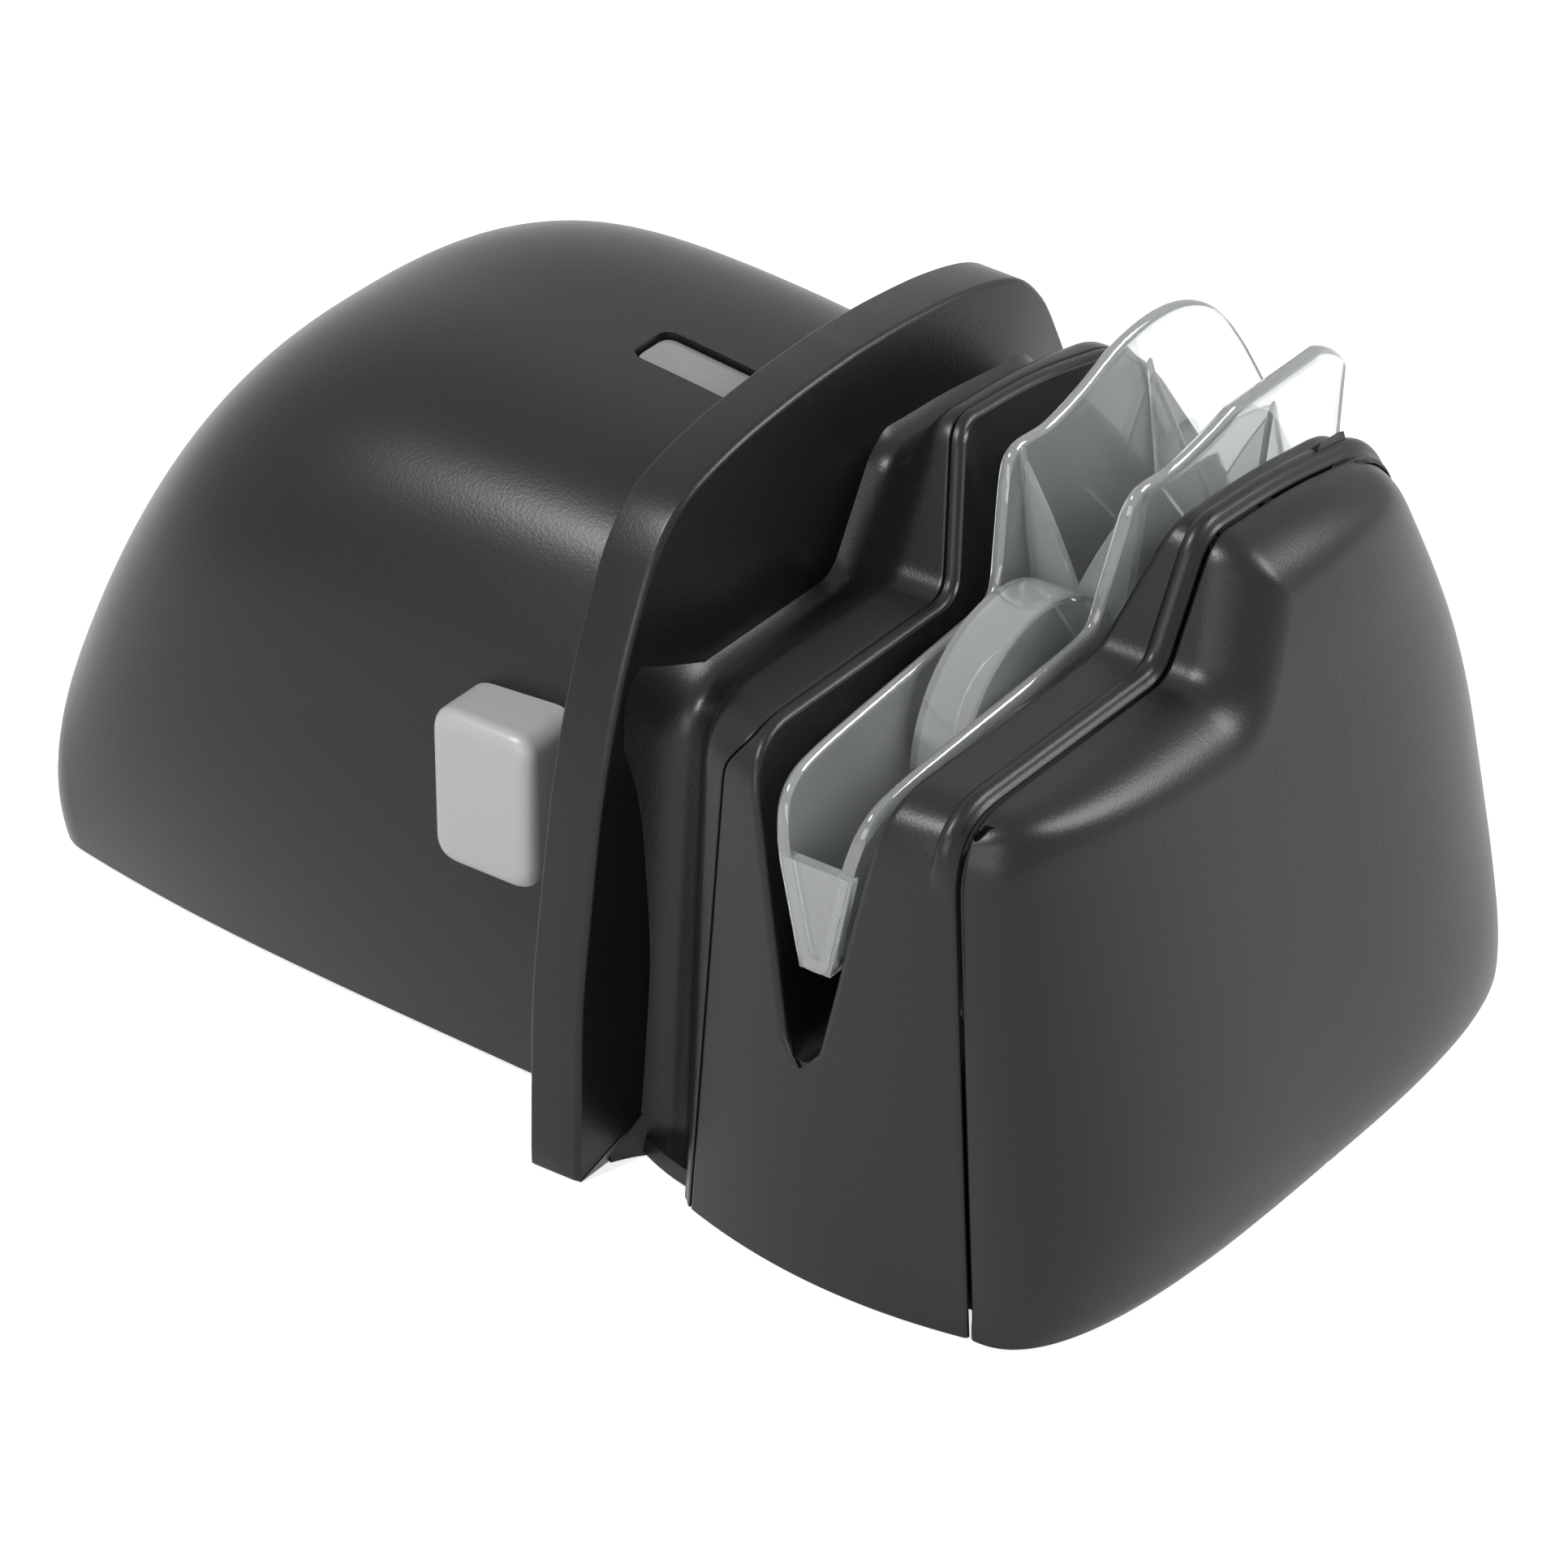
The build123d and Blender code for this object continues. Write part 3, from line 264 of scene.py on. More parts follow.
@dataclass(frozen=True)
class Finish:
    """What every finish shares: a name, a colour and how rough it is."""

    name: str
    base: str
    roughness: float = 0.5

    def material(self) -> Material:
        """Make the material, or return the one already made."""
        known = bpy.data.materials.get(self.name)
        if known:
            return known
        made = bpy.data.materials.new(self.name)
        tree = blank_tree(made)
        place = add_node(tree, "TexCoord").outputs["Object"]
        shader = add_node(tree, "BsdfPrincipled", {"Base Color": colour(self.base), "Roughness": self.roughness})
        self.dress(tree, place, shader)
        add_node(tree, "OutputMaterial", links={"Surface": shader.outputs[0]})
        return made

    def dress(self, tree: NodeTree, place: NodeSocket, shader: Node) -> None:
        """Add the pattern of this finish."""

    def vary(self, source: NodeSocket, shader: Node, spread: float) -> None:
        """Let a pattern from 0 to 1 change the roughness by up to a spread to either side."""
        tree = shader.id_data
        rough = add_node(tree, "MapRange", {"To Min": self.roughness - spread, "To Max": self.roughness + spread},
                         {"Value": source})
        tree.links.new(rough.outputs["Result"], shader.inputs["Roughness"])

    def raise_up(self, source: NodeSocket, shader: Node, depth: float, strength: float = 1.0) -> None:
        """Let a pattern from 0 to 1 stand up from the face by a depth in millimetres, at a strength."""
        tree = shader.id_data
        bump = add_node(tree, "Bump", {"Strength": strength, "Distance": depth * MM}, {"Height": source})
        tree.links.new(bump.outputs["Normal"], shader.inputs["Normal"])


@dataclass(frozen=True)
class MouldedPlastic(Finish):
    """Injection-moulded plastic: a fine eroded grain breaks the gloss into a soft, faintly speckled sheen."""

    grain: float = 0.35
    depth: float = 0.010
    speckle: float = 0.3
    ior: float = 1.5
    coat: float = 0.0

    def dress(self, tree: NodeTree, place: NodeSocket, shader: Node) -> None:
        """Grain as bump, the same grain as slight changes of colour, and slow changes of roughness."""
        shader.inputs["IOR"].default_value = self.ior
        shader.inputs["Coat Weight"].default_value = self.coat
        shader.inputs["Coat Roughness"].default_value = 0.2
        fine = add_node(tree, "TexNoise", {"Scale": 1 / (self.grain * MM), "Detail": 2.0, "Roughness": 0.6},
                        {"Vector": place})
        slow = add_node(tree, "TexNoise", {"Scale": 1 / (18 * MM), "Detail": 2.0}, {"Vector": place})
        self.vary(slow.outputs["Fac"], shader, 0.03)
        base = colour(self.base)
        light = tuple(min(1.0, c * (1 + self.speckle)) for c in base[:3]) + (1.0,)
        dark = tuple(c * (1 - self.speckle) for c in base[:3]) + (1.0,)
        mix = add_node(tree, "Mix", {"data_type": "RGBA"})
        mix.inputs[6].default_value, mix.inputs[7].default_value = dark, light
        tree.links.new(fine.outputs["Fac"], mix.inputs[0])
        tree.links.new(mix.outputs[2], shader.inputs["Base Color"])
        self.raise_up(fine.outputs["Fac"], shader, self.depth)


@dataclass(frozen=True)
class ClearPlastic(Finish):
    """Clear moulded polycarbonate: see-through walls, bright rims, a trace of haze from handling."""

    through: float = 0.9

    def dress(self, tree: NodeTree, place: NodeSocket, shader: Node) -> None:
        """Clear body with roughness that drifts slowly where it has been handled."""
        shader.inputs["IOR"].default_value = 1.58
        shader.inputs["Transmission Weight"].default_value = self.through
        haze = add_node(tree, "TexNoise", {"Scale": 1 / (6 * MM), "Detail": 3.0}, {"Vector": place})
        self.vary(haze.outputs["Fac"], shader, 0.5 * self.roughness)


@dataclass(frozen=True)
class WorkedMetal(Finish):
    """Metal with the marks of its making: fine lines across one direction, or a tight plated grain."""

    lines: Triple = (0.4, 0.4, 0.4)
    depth: float = 0.004

    def dress(self, tree: NodeTree, place: NodeSocket, shader: Node) -> None:
        """Noise stretched by the line spacing in millimetres feeds roughness and bump."""
        shader.inputs["Metallic"].default_value = 1.0
        scale = add_node(tree, "Mapping", {"Scale": tuple(1 / (s * MM) for s in self.lines)}, {"Vector": place})
        marks = add_node(tree, "TexNoise", {"Scale": 1.0, "Detail": 3.0}, {"Vector": scale.outputs[0]})
        self.vary(marks.outputs["Fac"], shader, 0.08)
        self.raise_up(marks.outputs["Fac"], shader, self.depth, 0.6)


@dataclass(frozen=True)
class DiamondGrit(Finish):
    """Diamond grains held in nickel: a dark grey face that glitters with hard points of 0.3 mm."""

    def dress(self, tree: NodeTree, place: NodeSocket, shader: Node) -> None:
        """Cells the size of a grain stand up from the nickel and vary its tone."""
        shader.inputs["Metallic"].default_value = 0.6
        grains = add_node(tree, "TexVoronoi", {"Scale": 1 / (0.3 * MM)}, {"Vector": place})
        tone = add_node(tree, "MapRange", {"From Max": 0.7, "To Min": 0.05, "To Max": 0.22},
                        {"Value": grains.outputs["Distance"]})
        tree.links.new(tone.outputs["Result"], shader.inputs["Base Color"])
        self.raise_up(grains.outputs["Distance"], shader, 0.05)


class Stock(Enum):
    """The finishes of this sharpener."""

    SHELL_ABS = MouldedPlastic("eroded_black_abs", "#111212", 0.34, 0.35, 0.022, 0.6, 1.36)
    BUTTON_ABS = MouldedPlastic("satin_grey_abs", "#9d9e9f", 0.36, 0.5, 0.003, 0.03)
    TRAY_ABS = MouldedPlastic("plain_black_abs", "#2a2b2d", 0.45, 0.6, 0.004, 0.1)
    LENS = MouldedPlastic("milky_grey_lens", "#727475", 0.18, 0.8, 0.002, 0.05, 1.58)
    NYLON = MouldedPlastic("natural_nylon", "#e2e0d8", 0.4, 0.6, 0.004, 0.04, 1.53)
    BOARD = MouldedPlastic("green_solder_mask", "#1d5a35", 0.3, 0.9, 0.006, 0.12)
    LAMP = MouldedPlastic("tinted_epoxy_lamp", "#b3261e", 0.12, 0.8, 0.001, 0.02, 1.55)
    FEET = MouldedPlastic("soft_black_rubber", "#232323", 0.75, 0.25, 0.02, 0.2, 1.52)
    JACKET = MouldedPlastic("printed_cell_jacket", "#5b666e", 0.3, 0.7, 0.003, 0.08, 1.5, 0.4)
    GUIDE = ClearPlastic("clear_polycarbonate", "#e6e9e9", 0.04, 0.84)
    STEEL = WorkedMetal("zinc_plated_steel", "#b9bcc0", 0.34, (0.5, 0.5, 3.0))
    NICKEL = WorkedMetal("nickel_plate", "#cfcbc2", 0.24, (0.6, 0.6, 0.6))
    BRASS = WorkedMetal("turned_brass", "#d9b36a", 0.3, (0.25, 2.0, 2.0))
    GRIT = DiamondGrit("diamond_grit_in_nickel", "#5c5d5f", 0.5)


NODE_STOCK: dict[str, Stock] = {
    **dict.fromkeys(("grip_shell", "guard_body", "wheel_housing", "end_cap", "base_plate", "head_base",
                     "battery_door"), Stock.SHELL_ABS),
    **dict.fromkeys(("battery_tray", "bearing_post", "micro_switch"), Stock.TRAY_ABS),
    **dict.fromkeys(("cell_1", "cell_2", "cell_3", "cell_4"), Stock.JACKET),
    **dict.fromkeys(("contact_plates", "cell_springs", "button_spring"), Stock.NICKEL),
    **dict.fromkeys(("motor_end_bell", "shaft_gear", "wheel_hub", "switch_plunger"), Stock.NYLON),
    **dict.fromkeys(("motor_pinion", "rear_bush", "outer_bush"), Stock.BRASS),
    **dict.fromkeys(("switch_board", "led_board"), Stock.BOARD),
    "rubber_feet": Stock.FEET, "blade_guide": Stock.GUIDE, "grinding_wheel": Stock.GRIT,
    "power_button": Stock.BUTTON_ABS, "status_window": Stock.LENS, "indicator_led": Stock.LAMP,
}


def dress_nodes() -> None:
    """Give every node of the solids its finish; what isn't listed is plated steel."""
    for name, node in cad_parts.items():
        material = NODE_STOCK.get(name, Stock.STEEL).value.material()
        for spot in node.material_slots:
            spot.material = material
        if not node.material_slots:
            node.data.materials.append(material)


# Grip
@dataclass
class Grip:
    """Palm grip: a domed shell that falls away from the guard, with its button and window."""

    left: float = -77.0
    guard: float = 7.0
    ground: float = 0.8
    height: float = 72.07
    half_width: float = 36.06
    end_height: float = 23.3
    end_half_width: float = 30.3
    flat_share: float = 0.33
    drop_power: float = 3.4
    plan_power: float = 3.14
    section_power: float = 3.87
    end_section_power: float = 2.0
    bulge: float = 0.297
    end_rounding: float = 5.6
    saddle: float = 3.66
    saddle_share: float = 0.566
    flare: float = 1.0
    wall: float = 2.0
    button_centre: Pair = (-3.5, 38.2)
    button_size: Pair = (13.4, 18.8)
    button_face: float = -43.4
    button_gap: float = 0.65
    button_roll: float = 1.7
    button_wall: float = 1.6
    button_skin: float = 1.8
    button_back: float = -28.9
    button_corner: float = 3.0
    hole_corner: float = 2.4
    hole_reach: Pair = (-60.0, -26.0)
    window_centre: float = -5.5
    window_size: Pair = (16.2, 6.6)
    window_shift: float = -0.7
    window_top: float = 69.35
    window_fall: float = 0.11
    slot_reach: Pair = (60.0, 80.0)

    def section(self, share: Array, angle: Array, inset: Array) -> Array:
        """Arch points at shares of the length.

        Each arch is a superellipse in polar form: its radius along an angle is the power mean of the half-width
        and the height. Height, half-width and power change along the length, and towards the guard the back dips
        and the sides flare with the square of the distance.

        Args:
            share: Share of the length from the guard, shape (n, 1).
            angle: Angle from the front ground line, shape (1, m).
            inset: How far the arch is drawn in, shape (n, 1).

        Returns:
            Points of shape (n, m, 2) as (y, z).
        """
        drop = np.clip((share - self.flat_share) / (1 - self.flat_share), 0, 1)
        near = np.clip(1 - share / self.saddle_share, 0, 1) ** 2
        height = self.end_height + (self.height - self.end_height) * (1 - drop**self.drop_power) - self.ground
        height = height - self.saddle * near
        reach = self.end_half_width + (self.half_width - self.end_half_width) * (1 - share**self.plan_power)
        reach = reach + self.flare * near
        power = self.section_power + (self.end_section_power - self.section_power) * share
        height, reach = height - inset, reach - inset
        cos, sin = -np.cos(angle), np.sin(angle)
        radius = ((np.abs(cos) / reach) ** power + (sin / height) ** power) ** (-1 / power)
        y, z = radius * cos, radius * sin
        lean = 1 + self.bulge * share * z / reach
        return np.stack([y * lean, z + self.ground], axis=-1)

    def shell(self) -> Object:
        """Make the grip shell with its button hole and window slot."""
        angle = np.linspace(0.0, np.pi, 181)[None, :]
        share = np.linspace(0.0, 1.0, 110)[:, None] ** 0.85
        length, rounding = self.guard - self.left, self.end_rounding
        x = self.guard - share * (length - rounding)
        side = self.section(share * (length - rounding) / length, angle, np.zeros_like(share))
        short, drawn = (part[1:, None] for part in quarter(rounding, 12))
        bend_x = self.left + short
        bend = self.section((self.guard - bend_x) / length, angle, drawn)
        shrink = np.linspace(1.0, 0.0, 14)[1:, None, None]
        hub = np.array([0.0, self.ground])
        face = hub + (bend[-1:] - hub) * shrink
        yz = np.concatenate([side, bend, face])
        along = np.concatenate([x, bend_x, np.full((len(shrink), 1), self.left)])
        shell = Piece("grip_dome").grid(joined(along, yz)).make(
            Stock.SHELL_ABS, "chassis", "black_abs", ["grip_shell"], wall=self.wall)
        hole = rounded(self.button_centre, np.array(self.button_size) / 2 + self.button_gap, self.hole_corner)
        carve(shell, Piece("button_hole").tube(np.stack([np.insert(hole, 1, y, axis=1) for y in self.hole_reach])))
        slot = self.slot_outline(0.0)
        carve(shell, Piece("window_slot").tube(np.stack([np.insert(slot, 2, z, axis=1) for z in self.slot_reach])))
        return shell

    def slot_outline(self, inset: float) -> Array:
        """Outline of the window slot, with rounded corners."""
        half = np.array(self.window_size) / 2 - inset
        return rounded((self.window_centre, self.window_shift), half, 0.55 * half[1])

    def button(self) -> Object:
        """Make the push button: a hollow rounded block whose edges roll over to a nearly flat face."""
        fall, draw = quarter(self.button_roll, 9)
        hollow = self.button_face + self.button_skin
        depth = np.concatenate([[hollow, hollow, self.button_back, self.button_back], self.button_face + fall])
        insets = np.concatenate([[4.5, self.button_wall, self.button_wall, 0.0], draw])
        half = np.array(self.button_size) / 2
        rings = [np.insert(rounded(self.button_centre, half - inset, self.button_corner - 0.6 * inset), 1, y, axis=1)
                 for y, inset in zip(depth, insets)]
        last = rings[-1]
        centre = last.mean(axis=0)
        rings += [centre + (last - centre) * share for share in (0.75, 0.5, 0.25, 0.02)]
        return Piece("push_button").tube(np.stack(rings)).make(
            Stock.BUTTON_ABS, "button", "grey_abs", ["power_button"])

    def window(self) -> Object:
        """Make the window insert: a round-cornered lens just under the skin, and falling with it to the guard."""
        rings = []
        for sink, inset in ((3.0, 0.15), (0.3, 0.15), (0.0, 0.4), (0.0, 1.2)):
            outline = self.slot_outline(inset)
            slope = self.window_fall * (self.window_centre - outline[:, 0])
            rings.append(np.column_stack([outline, self.window_top - sink + slope]))
        return Piece("window_lens").tube(np.stack(rings)).make(
            Stock.LENS, "chassis", "grey_lens", ["status_window"])


# Head
@dataclass
class HeadForm:
    """Form shared by neck, wheel housing and end cap, a boot-shaped profile carried along the length."""

    ground: float = 0.24
    neck_start: float = 13.8
    valley: float = 18.4
    plateau: float = 25.0
    seam: float = 25.5
    cap: float = 62.2
    neck_half: float = 39.7
    seam_half: float = 45.9
    cap_half: float = 47.5
    bulge: float = 2.5
    lean: float = 3.9
    low: float = 58.6
    high: float = 74.5
    cap_high: float = 71.2
    low_dip: float = 3.6
    high_dip: float = 6.5
    slot: float = 40.7
    slot_floor: float = 25.5
    side_fillet: float = 4.6
    top_fillet: float = 4.4
    rise: Pair = (20.2, 25.7)
    step: Pair = (-8.4, -0.6)
    crown: Pair = (14.0, 0.7)
    fall: Pair = (30.0, 3.6)
    hip: Pair = (4.9, 0.62)
    cuts: tuple[float, ...] = (0.0, 7.0, 2.4, 3.0, 6.0, 6.0, 12.0, 0.0)
    slot_foot: float = 1.7
    slot_round: float = 2.0
    slot_slope: float = 0.212
    slot_bend: float = 33.3
    slot_flare: float = 0.30
    seam_lean: float = 0.047
    seam_step: Pair = (53.5, 58.4)
    seam_shift: float = 2.4
    seam_fall: float = 0.3
    cap_lean: float = 0.083
    runs: tuple[int, ...] = (44, 30, 12, 10, 8, 10, 26)
    arc: int = 14

    def fillet(self, x: Array, size: float) -> Array:
        """Fillet from the valley up to the guard: a parabola that reaches its size there."""
        return size * np.clip((self.valley - x) / (self.valley - self.neck_start), 0, 1) ** 2

    def along(self, x: Array) -> Array:
        """Share of the way from the housing seam to the cap."""
        return np.clip((x - self.seam) / (self.cap - self.seam), 0, 1)

    def half_width(self, x: Array) -> Array:
        """Half-width at the ground: a valley behind the guard, then a slow outward bow to the cap."""
        rise = (self.seam_half - self.neck_half) * smooth(*self.rise, x)
        along = self.along(x)
        bow = (self.cap_half - self.seam_half) * along + self.bulge * 4 * along * (1 - along)
        return self.neck_half + self.fillet(x, self.side_fillet) + rise + bow

    def dip(self, x: Array, depth: float) -> Array:
        """How far the top lies below its plateau: a valley with a fillet up to the guard."""
        return depth * (1 - smooth(self.valley, self.plateau, x)) - self.fillet(x, self.top_fillet)

    def rows(self) -> int:
        """Number of points along one profile."""
        return sum(self.runs) + self.arc * (len(self.runs) - 1)

    def profile(self, x: Array) -> tuple[Array, Array]:
        """Profile points for every column and row of a grid of lengths.

        The profile runs straight between corners, and each corner is a quadratic Bezier curve.

        Args:
            x: Lengths of shape (columns, rows).

        Returns:
            Points (y, z) and outward normals, both of shape (columns, rows, 2).
        """
        half, along = self.half_width(x), self.along(x)
        low = self.low - self.dip(x, self.low_dip)
        high = self.high + (self.cap_high - self.high) * along - self.dip(x, self.high_dip)
        ones = np.ones_like(x)
        corners = ((-half, self.ground), (self.lean - half, low), (self.step[0], low), (self.step[1], high),
                   (self.crown[0], high - self.crown[1]), (self.fall[0] + along, high - self.fall[1]),
                   (half - self.hip[0], self.hip[1] * high), (half, self.ground))
        spots = np.stack([np.stack([y * ones, z * ones], axis=-1) for y, z in corners])
        points = np.empty(x.shape + (2,))
        row = 0
        for i, run in enumerate(self.runs):
            way = spots[i + 1] - spots[i]
            length = np.linalg.norm(way, axis=-1, keepdims=True)
            t = (np.arange(run) / run)[None, :, None]
            part = slice(row, row + run)
            ahead = self.cuts[i] / length[:, part]
            behind = self.cuts[i + 1] / length[:, part]
            points[:, part] = spots[i][:, part] + way[:, part] * (ahead + (1 - ahead - behind) * t)
            row += run
            if i == len(self.runs) - 1:
                break
            part = slice(row, row + self.arc)
            here = spots[i + 1][:, part]
            start = here + self.cuts[i + 1] * unit(spots[i][:, part] - here)
            end = here + self.cuts[i + 1] * unit(spots[i + 2][:, part] - here)
            points[:, part] = bezier(start, here, end, (np.arange(self.arc) / self.arc)[None, :, None])
            row += self.arc
        points[:, -1] = spots[-1][:, -1]
        way = np.gradient(points, axis=1)
        return points, unit(np.stack([-way[..., 1], way[..., 0]], axis=-1))

    def slot_half(self, z: Array) -> Array:
        """Half-width of the V slot: a round floor, then straight walls that flare more above the low ledge."""
        up = z - self.slot_floor
        wall = self.slot_foot + self.slot_slope * np.minimum(up, self.slot_bend)
        wall = wall + self.slot_flare * np.maximum(up - self.slot_bend, 0)
        start = np.clip(up / self.slot_round, 0, 1)
        return wall * np.sqrt(np.clip(1 - (1 - start) ** 2, 0, 1))

    def housing_seam(self, z: Array) -> Array:
        """Length of the seam between neck and housing: upright in front, and along the slot over the top."""
        upright = self.seam + self.seam_lean * np.minimum(z, 53.0)
        return upright + self.seam_shift * smooth(*self.seam_step, z) - self.seam_fall * np.maximum(z - 59.0, 0)

    def cap_seam(self, z: Array) -> Array:
        """Length of the seam between housing and end cap: it leans to the left up to the front corner."""
        return self.cap - self.cap_lean * np.minimum(z, 51.0)

    def skin(self, left: Callable[[Array], Array], right: Callable[[Array], Array], edges: Array,
             columns: int) -> tuple[Array, Array, Array, Array]:
        """Grid of the skin between two limits that depend on height.

        Args:
            left: Gives the left limit for a height.
            right: Gives the right limit for a height.
            edges: Distances from each limit at which the first columns lie.
            columns: Number of columns between them.

        Returns:
            Points (columns, rows, 3), normals (columns, rows, 2) and the distances to the left and right limit.
        """
        share = np.linspace(0, 1, columns)[1:-1, None]
        x = np.full((2 * len(edges) + columns - 2, self.rows()), (self.seam + self.cap) / 2)
        reach, n = edges[:, None], len(edges)
        for _ in range(5):
            z = self.profile(x)[0][..., 1]
            a, b = left(z), right(z)
            fit = np.clip((b - a) / (2.2 * edges[-1]), 0.02, 1.0)
            near = a[:n] + reach * fit[:n]
            far = b[-n:] - (reach * fit[-n:])[::-1]
            start, end = (a + edges[-1] * fit)[n:-n], (b - edges[-1] * fit)[n:-n]
            x = np.concatenate([near, start + (end - start) * share, far])
        points, normal = self.profile(x)
        z = points[..., 1]
        return joined(x, points), normal, x - left(z), right(z) - x


def roll(distance: Array, radius: Array | float) -> Array:
    """How far a rolled edge falls away: a quarter circle of the radius, level beyond it."""
    radius = np.maximum(radius, 1e-6)
    inside = np.clip(radius - distance, 0, radius)
    return radius - np.sqrt(np.maximum(radius**2 - inside**2, 0))


def push(points: Array, normal: Array, amount: Array) -> Array:
    """Move skin points along their profile normals by an amount in millimetres."""
    moved = points.copy()
    moved[..., 1:] += normal * amount[..., None]
    return moved


@dataclass
class Guard:
    """Guard plate: an upright shield with a crisp rolled rim, its right face leaning out to the neck."""

    left: float = 7.0
    right: float = 13.4
    left_roll: float = 0.4
    right_roll: float = 0.8
    draft: float = 0.15
    lean: float = 2.8
    foot_high: float = 0.75
    centre: Pair = (0.0, 34.0)
    outline_points: tuple[Pair, ...] = (
        (49.4, 2.4), (49.1, 11.0), (48.5, 22.0), (46.8, 33.0), (44.6, 45.0), (41.3, 56.0), (37.6, 64.5),
        (34.4, 70.0), (29.6, 74.0), (21.0, 76.4), (10.0, 77.7), (0.0, 78.1))

    def outline(self) -> Array:
        """Closed outline of the plate as (y, z), with small rounds at its feet."""
        side = through(self.outline_points, 90)
        foot = np.array([[0.0, 0.15], [24.0, 0.15], [48.9, 0.15], [49.3, 0.3], [49.4, 0.7]])
        half = np.vstack([foot, side])
        return np.vstack([half[1:-1] * (-1, 1), [half[-1]], half[-2::-1]])

    def plate(self) -> Object:
        """Make the plate: its outline drawn in over rolled rims, and closed by flat faces."""
        outline = self.outline()
        way = np.roll(outline, -1, axis=0) - np.roll(outline, 1, axis=0)
        normal = unit(np.column_stack([-way[:, 1], way[:, 0]]))
        (left, left_in), (right, right_in) = quarter(self.left_roll, 9), quarter(self.right_roll, 9)
        lengths = np.concatenate([self.left + left[::-1], self.right - right])
        insets = np.concatenate([left_in[::-1], self.draft + right_in])
        centre = np.array(self.centre)
        foot = outline[:, 1] < self.foot_high
        rings = [np.insert(centre + (outline - normal * self.left_roll - centre) * share, 0, self.left, axis=1)
                 for share in (0.55, 0.8)]
        for x, inset in zip(lengths, insets):
            ring = outline - normal * inset
            ring[foot, 1] = outline[foot, 1]
            rings.append(np.insert(ring, 0, x, axis=1))
        rings += [np.insert(centre + (ring - centre) * share, 0, self.right + self.lean, axis=1)
                  for share in (0.8, 0.55)]
        return Piece("guard_plate").tube(np.stack(rings)).make(
            Stock.SHELL_ABS, "chassis", "black_abs", ["guard_body"])


